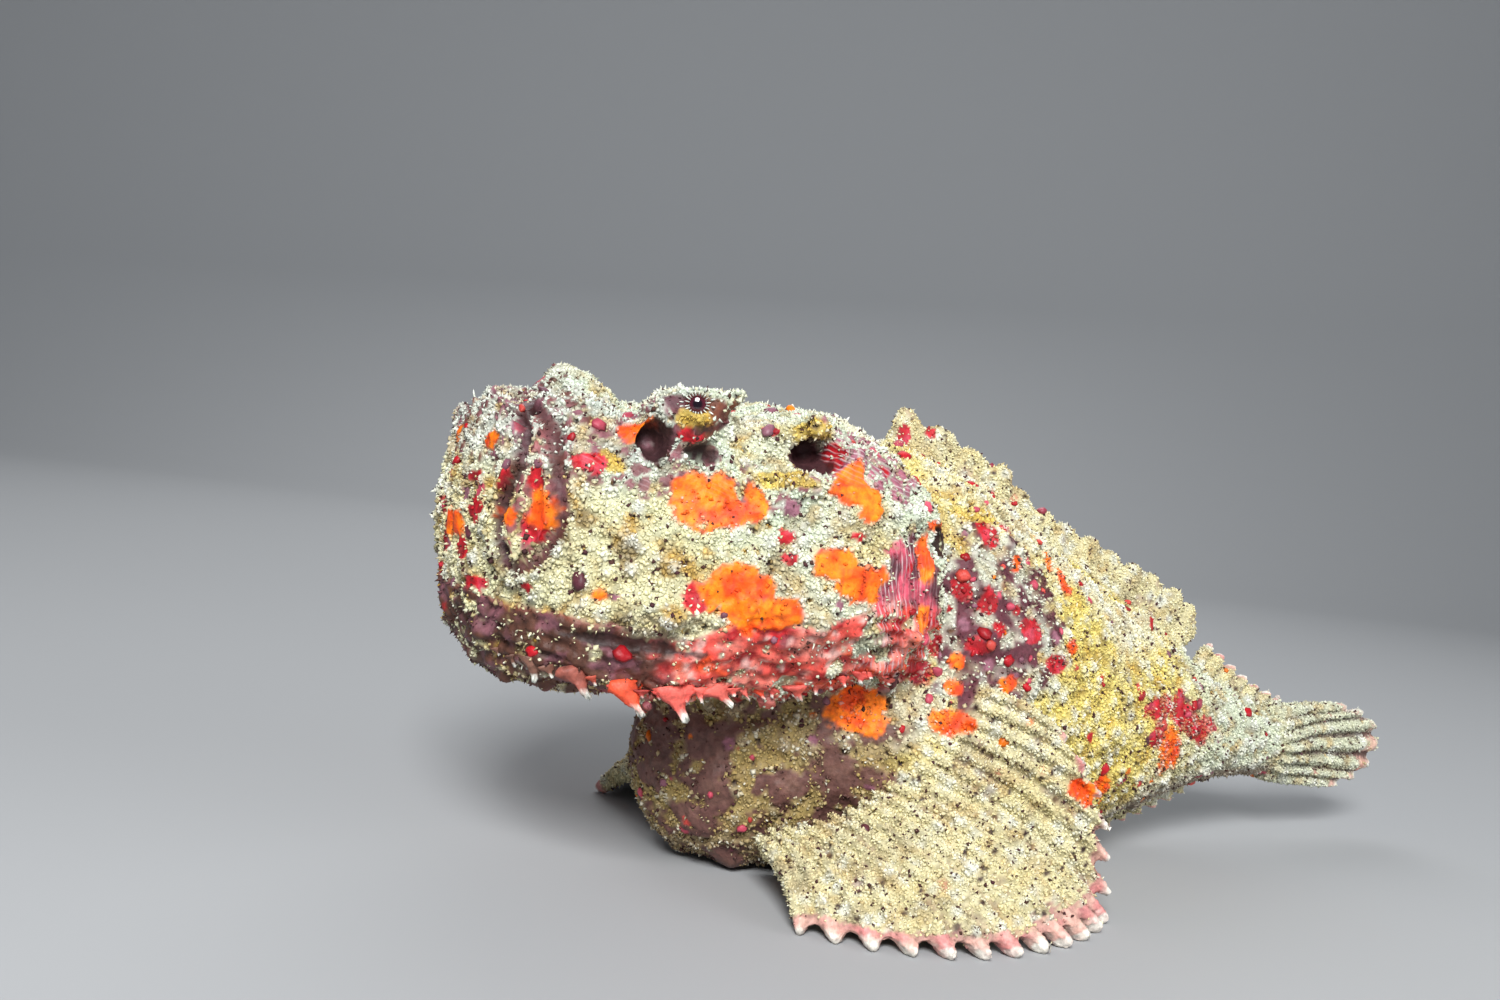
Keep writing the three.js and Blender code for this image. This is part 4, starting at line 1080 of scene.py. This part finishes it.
class Roots:
    """Places on the skin with what the skin carries there."""

    def __init__(self, skin, face, share):
        corner = skin.quads[face]
        self.face = face

        def at(field):
            values = field[corner]
            if values.ndim == 2:
                return (values * share).sum(axis=1)
            return (values * share[:, :, None]).sum(axis=1)

        self.place = at(skin.points)
        self.normal = unit(at(skin.normals))
        self.crust = at(skin.crust)
        self.colour = at(skin.colour)
        self.cover = at(skin.cover)
        self.fin = at(skin.fin)
        self.band = at(skin.band)
        self.head = at(skin.head)
        self.trunk = at(skin.trunk)
        self.purple = at(np.clip(skin.purple + skin.peduncle, 0, 1))
        self.relief = at(skin.relief)
        self.tip = at(skin.tip)
        # dark: the painted shade of the hollows
        self.dark = at(skin.dark)
        self.orange = at(skin.orange)
        self.eye_distance = inside(left_side(self.place), EYE, (1, 1, 1))
        self.pupil_distance = inside(left_side(self.place), EYE + PUPIL_OUT * EYE_LOOK, (1, 1, 1))

    def pick(self, chosen):
        some = object.__new__(Roots)
        for name, value in self.__dict__.items():
            setattr(some, name, value[chosen])
        return some

    def __len__(self):
        return len(self.place)


def scattered(skin, spacing, rng):
    """Roots over the whole skin, about one to each cell of the given size."""
    corner = skin.points[skin.quads]
    area = np.linalg.norm(np.cross(corner[:, 2] - corner[:, 0], corner[:, 3] - corner[:, 1]), axis=1)
    count = int(2.2 * area.sum() / spacing**2)
    face = rng.choice(len(area), count, p=area / area.sum())
    u, v = rng.random((2, count))
    share = np.stack([(1 - u) * (1 - v), u * (1 - v), u * v, (1 - u) * v], axis=1)
    place = (corner[face] * share[:, :, None]).sum(axis=1)
    _, kept = np.unique(np.floor(place / spacing), axis=0, return_index=True)
    kept = np.sort(kept)
    return Roots(skin, face[kept], share[kept])


def unwrapped(points):
    """Place of each point on an unwrap of the body: along it, and round it."""
    centre = np.array([-95.0, 0.0, 0.0])
    level = np.interp(points[:, 0], [-138, -95, -34, 30, 124], [84, 78, 55, 40, 28])
    across = points[:, 1]
    up = points[:, 2] - level
    reach = np.hypot(across, up)
    polar = np.arctan2(reach, np.maximum(centre[0] - points[:, 0], 1e-6))
    along = np.where(points[:, 0] < centre[0], 45 * polar, 45 * math.pi / 2 + points[:, 0] - centre[0])
    round_it = np.arctan2(across, up) / (2 * math.pi) + 0.5
    return np.stack([0.01 + along / 360, 0.01 + 0.98 * round_it], axis=1)


def perpendicular(normals, lean):
    """Two directions across each normal; the first follows lean where it can."""
    first = lean - (lean * normals).sum(axis=1)[:, None] * normals
    short = np.linalg.norm(first, axis=1) < 0.1
    first[short] = np.cross(normals[short], (0.3, 0.9, 0.1))
    first = unit(first)
    return first, np.cross(normals, first)


PATCH = 0.0015
CRUMB_SPACING = 1.0
GRAIN_SPACING = 1.0
FRINGE_FLAPS = 30
# Large flaps of the fringe: place along the body and length, in mm
LARGE_FLAPS = ((-125, 3.4), (-117, 5.2), (-108.5, 6.2), (-100, 5.6), (-87.5, 4.2), (-70, 3.0))


def coat_piece(name, shape, roots, sizes, rough, rng, low, high, bend=0.0, direction=None, lean=None, shade=(0, 0.9)):
    """Joined copies of a small shape on the given roots.

    sizes has three columns: width, breadth and height in mm. low and high are the colours at
    the foot and at the tip of each copy; where low is only a darker copy of high, that is painted shade at the foot.
    """
    base, faces = shape
    count = len(roots)
    up = roots.normal if direction is None else direction
    turn = unit(rng.normal(size=(count, 3))) if lean is None else np.tile(np.array(lean, float), (count, 1))
    side, other = perpendicular(up, turn)
    jitter = 1 + rough * rng.uniform(-1, 1, (count, len(base), 1))
    local = base[None] * sizes[:, None, :] * jitter
    bent = bend * np.clip(base[None, :, 2:3], 0, 1) ** 2 * sizes[:, None, 2:3]
    points = (
        roots.place[:, None]
        + (local[..., 0:1] + bent) * side[:, None]
        + local[..., 1:2] * other[:, None]
        + local[..., 2:3] * up[:, None]
    )
    height = ramp(base[:, 2], *shade)[None, :, None]
    colours = mix(low[:, None], high[:, None], height).reshape(-1, 3)
    points = points.reshape(-1, 3)
    points = in_box(points)
    every = (faces[None] + len(base) * np.arange(count)[:, None, None]).reshape(-1, 3)
    made = new_mesh(name, points, every)
    set_colours(made.data, colours)
    layer = made.data.uv_layers.new(name="OFBake")
    patch = unwrapped(roots.place)[:, None] + PATCH * base[None, :, :2]
    layer.data.foreach_set("uv", patch.reshape(-1, 2)[every.ravel()].astype(np.float32).ravel())
    return made


def in_parts(name, shape, roots, make, most=190000):
    """Splits the roots by place along the body, so that no piece passes the given triangles."""
    per_piece = most // len(shape[1])
    order = np.argsort(roots.place[:, 0], kind="stable")
    parts = []
    total = math.ceil(len(order) / per_piece)
    for k in range(total):
        chosen = order[k * len(order) // total : (k + 1) * len(order) // total]
        parts.append(make(f"{name}_{k + 1}", shape, roots.pick(chosen)))
    return parts


def tilted(normals, amount, rng):
    return unit(normals + amount * unit(rng.normal(size=normals.shape)))


def crumb_colours(some, rng, dark_share):
    """Colours at the foot and at the tip: mostly the crust's own, some dark, some nearly white, the nearly white ones
    mostly on the skin's crests as a painted highlight; the foot is the tip's colour darkened as painted shade.
    """
    count = len(some)
    tone = rng.uniform(0.82, 1.12, (count, 1))
    # painted highlight: paler crumbs where the skin's relief is high
    pale = 0.7 * rng.random((count, 1)) ** 2 * ramp(some.relief, 0.25, 0.6)[:, None]
    body = mix(some.crust, WHITE_TIP, pale) * tone
    own = (rng.random(count) < 0.6 * (1 - ramp(some.cover, 0.15, 0.5)))[:, None]
    body = np.where(own, some.colour * mix(0.9, 1.35, rng.random((count, 1))), body)
    dark = (rng.random(count) < dark_share)[:, None]
    body = np.where(dark, mix(BROWN, PURPLE, rng.random((count, 1))) * 0.6, body)
    # painted shade: the foot is the tip's colour darkened
    return np.clip(body * 0.62, 0, 1), np.clip(body, 0, 1)


def crust_coat(skin):
    """The crust: small ragged crumbs close together."""
    rng = np.random.default_rng(7)
    roots = scattered(skin, CRUMB_SPACING, rng)
    clear = roots.pupil_distance > LID_HOLE + 1.2
    roots = roots.pick((rng.random(len(roots)) < 1.05 * ramp(roots.cover, 0.05, 0.9)) & clear)

    def make(name, shape, some):
        count = len(some)
        width = mix(0.4, 0.92, rng.random(count) ** 1.3) * mix(1.0, 0.85, some.fin)
        sizes = np.stack([width, width * rng.uniform(0.55, 1.0, count), width * rng.uniform(0.6, 1.0, count)], 1)
        low, high = crumb_colours(some, rng, 0.05)
        lie = tilted(some.normal, 0.5, rng)
        return coat_piece(name, shape, some, sizes, 0.35, rng, low, high, direction=lie)

    return in_parts("crust", octahedron(), roots, make)


def grain_coat(skin):
    """Fine sharp grains between the crumbs, and thinly over the bare skin."""
    rng = np.random.default_rng(13)
    roots = scattered(skin, GRAIN_SPACING, rng)
    clear = roots.pupil_distance > LID_HOLE + 0.9
    wanted = (0.12 + 0.6 * roots.cover) * (1 - roots.dark) * (1 - roots.tip) * (roots.cover > 0.02)
    roots = roots.pick((rng.random(len(roots)) < wanted) & clear)

    def make(name, shape, some):
        count = len(some)
        width = rng.uniform(0.22, 0.5, count)
        tall = mix(0.4, 1.15, rng.random(count) ** 2)
        sizes = np.stack([width, width, tall], 1)
        low, high = crumb_colours(some, rng, 0.1)
        return coat_piece(name, shape, some, sizes, 0.3, rng, low, high, direction=tilted(some.normal, 0.5, rng))

    return in_parts("grains", shard(), roots, make)


def wart_coat(skin):
    """Smooth fleshy warts, crimson and rose, thickest behind the gill covers and over the back."""
    rng = np.random.default_rng(21)
    roots = scattered(skin, 4.4, rng)
    back = ramp(roots.normal[:, 2], 0.1, 0.8)
    wanted = 0.03 + 0.25 * roots.purple + 0.03 * roots.band + 0.08 * back
    wanted = wanted * (1 - 0.85 * roots.fin) * (1 - roots.orange) * (1 - roots.dark)
    clear = roots.eye_distance > 11
    roots = roots.pick((rng.random(len(roots)) < wanted) & clear)
    count = len(roots)
    width = mix(0.8, 2.3, rng.random(count) ** 1.7)
    sizes = np.stack([width, width * rng.uniform(0.55, 0.95, count), 0.3 * width + 0.35], 1)
    kinds = np.array([CRIMSON_RED, ROSE, MAUVE, CORAL, ORANGE_BRIGHT, PURPLE])
    kind = kinds[rng.choice(len(kinds), count, p=[0.34, 0.24, 0.2, 0.08, 0.06, 0.08])]
    tone = rng.uniform(0.6, 1.05, (count, 1))
    # painted shade: the foot of each wart is its colour darkened
    return [coat_piece("warts", dome(), roots, sizes, 0.2, rng, kind * 0.6 * tone, kind * tone)]


def papilla_coat(skin):
    """Short pale spines on the crests of the skin."""
    rng = np.random.default_rng(33)
    roots = scattered(skin, 2.6, rng)
    back = ramp(roots.normal[:, 2], -0.1, 0.6)
    wanted = (0.12 + 0.15 * back) * roots.cover
    clear = roots.eye_distance > 7
    roots = roots.pick((rng.random(len(roots)) < wanted) & clear)
    count = len(roots)
    small = mix(1.0, 0.7, roots.fin)
    width = small * rng.uniform(0.25, 0.45, count)
    sizes = np.stack([width, width, small * mix(0.8, 1.6, rng.random(count) ** 2)], 1)
    high = np.clip(mix(roots.crust, WHITE_TIP, 0.8), 0, 1)
    # painted shade: the foot of each spine is the crust's colour darkened; the pale tip is its own colour
    return [coat_piece("papillae", spike(), roots, sizes, 0.15, rng, roots.crust * 0.6, high, bend=0.35)]


def tapered_flap(rings=7, sides=10):
    """A fleshy flap of unit length on +Z, broad at its foot, narrow and blunt at its tip."""
    points = []
    for r in range(rings):
        t = r / (rings - 1)
        radius = mix(1.0, 0.22, ramp(t, 0, 0.75)) * (1 + 0.12 * math.sin(11 * t))
        for k in range(sides):
            turn = 2 * math.pi * k / sides
            points.append((radius * math.cos(turn), radius * math.sin(turn), mix(-0.3, 0.94, t)))
    points += [(0, 0, 1), (0, 0, -0.3)]
    faces = []
    for r in range(rings - 1):
        for k in range(sides):
            a, b = r * sides + k, r * sides + (k + 1) % sides
            faces += [(a, b, b + sides), (a, b + sides, a + sides)]
    last = (rings - 1) * sides
    for k in range(sides):
        faces.append((last + k, last + (k + 1) % sides, rings * sides))
        faces.append(((k + 1) % sides, k, rings * sides + 1))
    return np.array(points, float), np.array(faces)


def fringe(skin):
    """The fringe along the rim of the jaws and gill covers: coral flaps with pale tips."""
    rng = np.random.default_rng(11)
    places = skin.rim[skin.rim[:, 0] > -132]
    line = even_curve(places[:, :3])
    pieces = []
    for side in (1, -1):
        count = FRINGE_FLAPS
        along = (np.arange(count) + 0.7 * rng.random(count)) / count
        root = np.array([line(t) for t in along]) * (1, side, 1)
        down = unit(np.array([0.0, -0.35 * side, -1.0]) + rng.normal(0, 0.22, (count, 3)))
        long = rng.uniform(1.2, 2.6, count) * mix(1.0, 0.6, ramp(root[:, 0], -75, -50))
        wide = rng.uniform(1.2, 2.4, count)
        for x, length in LARGE_FLAPS:
            nearest = np.abs(root[:, 0] - x).argmin()
            long[nearest] = length
            wide[nearest] = 2.2 + 0.4 * length
        sizes = np.stack([wide, 0.5 * wide, long], 1)
        some = object.__new__(Roots)
        some.place = root - down * 0.5
        some.normal = down
        tone = rng.uniform(0.7, 1.1, (count, 1))
        red = ramp(root[:, 0], -125, -105)[:, None]
        warm = mix(mix(CORAL, SALMON, 0.4), ORANGE_DEEP, (rng.random((count, 1)) > 0.8) * 0.7)
        warm = mix(warm, CRIMSON_RED, rng.random((count, 1)) * 0.5)
        low = mix(mix(BROWN, BELLY, 0.5), warm, red) * tone
        high = mix(SLATE, WHITE_TIP, 0.8) * tone
        name = "fringe_left" if side > 0 else "fringe_right"
        pieces.append(
            coat_piece(name, tapered_flap(), some, sizes, 0.22, rng, low, high, bend=0.3, lean=(1, 0, 0), shade=(0.55, 0.95))
        )
    return pieces


def lash_ring(name, out, ring, count, sizes, rng):
    """A ring of short pale spines on each lid, pointing away from the pupil."""
    places, directions = [], []
    for side in (1, -1):
        flip = np.array([1, side, 1])
        level, upward = across_axis(EYE_LOOK)
        turns = 2 * math.pi * (np.arange(count) + 0.4 * rng.random(count)) / count
        outward = np.cos(turns)[:, None] * level + np.sin(turns)[:, None] * upward
        places.append((EYE + out * EYE_LOOK + ring * outward) * flip)
        directions.append(unit(outward + 0.7 * EYE_LOOK) * flip)
    some = object.__new__(Roots)
    some.place = np.concatenate(places)
    some.normal = np.concatenate(directions)
    width, length = sizes
    scale = rng.uniform(0.8, 1.25, (len(some.place), 1))
    size = np.array([[width, width, length]]) * scale
    # painted shade: the foot of each lash is a darker frost than its white tip
    low = np.tile(FROST * 0.7, (len(some.place), 1))
    return coat_piece(name, spike(6), some, size, 0.1, rng, low, np.tile(WHITE_TIP, (len(low), 1)))


def eyeball(side):
    """A glossy ball: black pupil, a maroon ring round it, dark brown beyond."""
    points, faces = ball((0, 0, 0), (1, 1, 1), 5)
    flip = np.array([1, side, 1])
    look = EYE_LOOK * flip
    across = np.linalg.norm(np.cross(points, look), axis=1) * BALL_RADIUS
    across = np.where(points @ look > 0, across, BALL_RADIUS)
    speckle = noise(points, 0.07, 500) * 0.5 + 0.5
    iris = mix(MAROON, RUSSET, (0.6 * speckle * ramp(across, 1.3, 2.2))[:, None])
    colour = mix(PUPIL_BLACK, iris, ramp(across, 0.8, 1.25)[:, None])
    points[:, 2] = np.minimum(points[:, 2], BALL_TOP)  # flat where the hood covers it
    made = new_mesh("eyeball_left" if side > 0 else "eyeball_right", BALL_RADIUS * points, faces)
    place = (EYE + BALL_OUT * EYE_LOOK) * flip
    made.data.transform(Matrix.Translation(Vector(place * MM)))
    set_colours(made.data, colour)
    return made


skin = build_skin()
skin_object = new_mesh("skin", skin.points, skin.quads)
set_colours(skin_object.data, skin.colour)
stripe_share = np.clip(skin.opercle + skin.streaked + 0.3 * skin.bare, 0, 1)
stripe_share = stripe_share * (1 - 0.8 * skin.orange) * (1 - skin.dark) * (1 - 0.5 * skin.crusted)
stripe_share = stripe_share * mix(0.15, 0.8, ramp(layered(skin.seed_points, 4.0, 450, 3), -0.35, 0.35))
upright = skin.points @ (1.0, 0.0, 0.15)
level = skin.points @ (0.35, 0.0, 0.94)
stripe_place = np.where(skin.opercle > skin.streaked, upright, level) * 2 * math.pi / STRIPE_WIDTH
for name, field in (("Striped", stripe_share), ("Stripe Place", stripe_place)):
    layer = skin_object.data.attributes.new(name, "FLOAT", "POINT")
    layer.data.foreach_set("value", field.astype(np.float32))
skin_object.data.materials.append(living_material("fish_skin", 0.55, 700.0, 0.35, 0.35, striped=True))
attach(skin_object, "root")
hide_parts(*FLESH)

crust_material = living_material("crust", 0.75, 1200.0, 0.15, 0.2)
wart_material = living_material("wart_skin", 0.45, 900.0, 0.2, 0.2)
for piece in crust_coat(skin) + grain_coat(skin) + papilla_coat(skin):
    piece.data.materials.append(crust_material)
    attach(piece, "root")
fringe_material = living_material("fringe_skin", 0.5, 500.0, 0.5, 0.45)
for piece in wart_coat(skin) + fringe(skin):
    piece.data.materials.append(fringe_material if piece.name.startswith("fringe") else wart_material)
    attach(piece, "root")


eye_material = living_material("eye_wet", 0.08, 1500.0, 0.02, 0.15)
eye_material.node_tree.nodes["Principled BSDF"].inputs["Coat Weight"].default_value = 0.6
for side, solid in ((1, "eye_left"), (-1, "eye_right")):
    eye = eyeball(side)
    eye.data.materials.append(eye_material)
    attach(eye, "root")
    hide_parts(solid)
lash_random = np.random.default_rng(5)
for lashes in (
    lash_ring("lashes_inner", PUPIL_OUT + 0.2, LID_HOLE + 0.15, 20, (0.16, 0.85), lash_random),
    lash_ring("lashes_outer", PUPIL_OUT - 0.1, LID_HOLE + 1.3, 16, (0.22, 0.8), lash_random),
):
    lashes.data.materials.append(crust_material)
    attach(lashes, "root")


# Stage: pale floor that rises into a backdrop, soft lights, the camera
def stage():
    profile = [(-2.5, 0.0), (0.9, 0.0)]
    for k in range(1, 13):
        turn = math.pi / 2 * k / 12
        profile.append((0.9 + 0.5 * math.sin(turn), 0.5 - 0.5 * math.cos(turn)))
    profile.append((1.4, 2.4))
    along = Vector((math.sin(math.radians(CAMERA_TURN)), math.cos(math.radians(CAMERA_TURN)), 0))
    across = Vector((along.y, -along.x, 0))
    points = []
    for forward, up in profile:
        for side in (-3.0, 3.0):
            points.append(along * forward + across * side + Vector((0, 0, up - 0.0002)))
    faces = [(2 * k, 2 * k + 1, 2 * k + 3, 2 * k + 2) for k in range(len(profile) - 1)]
    floor = new_mesh("floor", np.array(points) / MM, np.array(faces))
    material = bpy.data.materials.new("floor_paper")
    material.use_nodes = True
    shader = material.node_tree.nodes["Principled BSDF"]
    shader.inputs["Base Color"].default_value = (0.36, 0.37, 0.38, 1)
    shader.inputs["Roughness"].default_value = 0.9
    floor.data.materials.append(material)


def soft_light(name, place, size, power, colour=(1, 1, 1)):
    data = bpy.data.lights.new(name, "AREA")
    data.size = size
    data.energy = power
    data.color = colour
    lamp = bpy.data.objects.new(name, data)
    lamp.location = place
    target = Vector((-0.04, 0, 0.05))
    lamp.rotation_euler = (target - Vector(place)).to_track_quat("-Z", "Y").to_euler()
    bpy.context.scene.collection.objects.link(lamp)


def camera():
    data = bpy.data.cameras.new("camera")
    data.lens = CAMERA_LENS
    data.sensor_width = 36.0
    made = bpy.data.objects.new("camera", data)
    turn, down, roll = (math.radians(v) for v in (CAMERA_TURN, CAMERA_DOWN, CAMERA_ROLL))
    forward = Vector((math.sin(turn) * math.cos(down), math.cos(turn) * math.cos(down), -math.sin(down)))
    right = Vector((math.cos(turn), -math.sin(turn), 0))
    up = right.cross(forward)
    across = right * math.cos(roll) + up * math.sin(roll)
    upright = up * math.cos(roll) - right * math.sin(roll)
    turned = Matrix((across, upright, -forward)).transposed().to_4x4()
    made.matrix_world = Matrix.Translation(CAMERA_PLACE) @ turned
    bpy.context.scene.collection.objects.link(made)
    bpy.context.scene.camera = made


stage()
soft_light("key", (-0.55, -0.8, 0.75), 0.4, 20)
soft_light("fill", (0.7, -0.8, 0.4), 0.8, 5)
soft_light("rim", (0.3, 0.8, 0.8), 0.8, 5)
camera()
world = bpy.data.worlds.new("studio")
world.use_nodes = True
world.node_tree.nodes["Background"].inputs["Color"].default_value = (0.8, 0.86, 0.95, 1)
world.node_tree.nodes["Background"].inputs["Strength"].default_value = 0.25
bpy.context.scene.world = world
bpy.context.scene.view_settings.view_transform = "Standard"
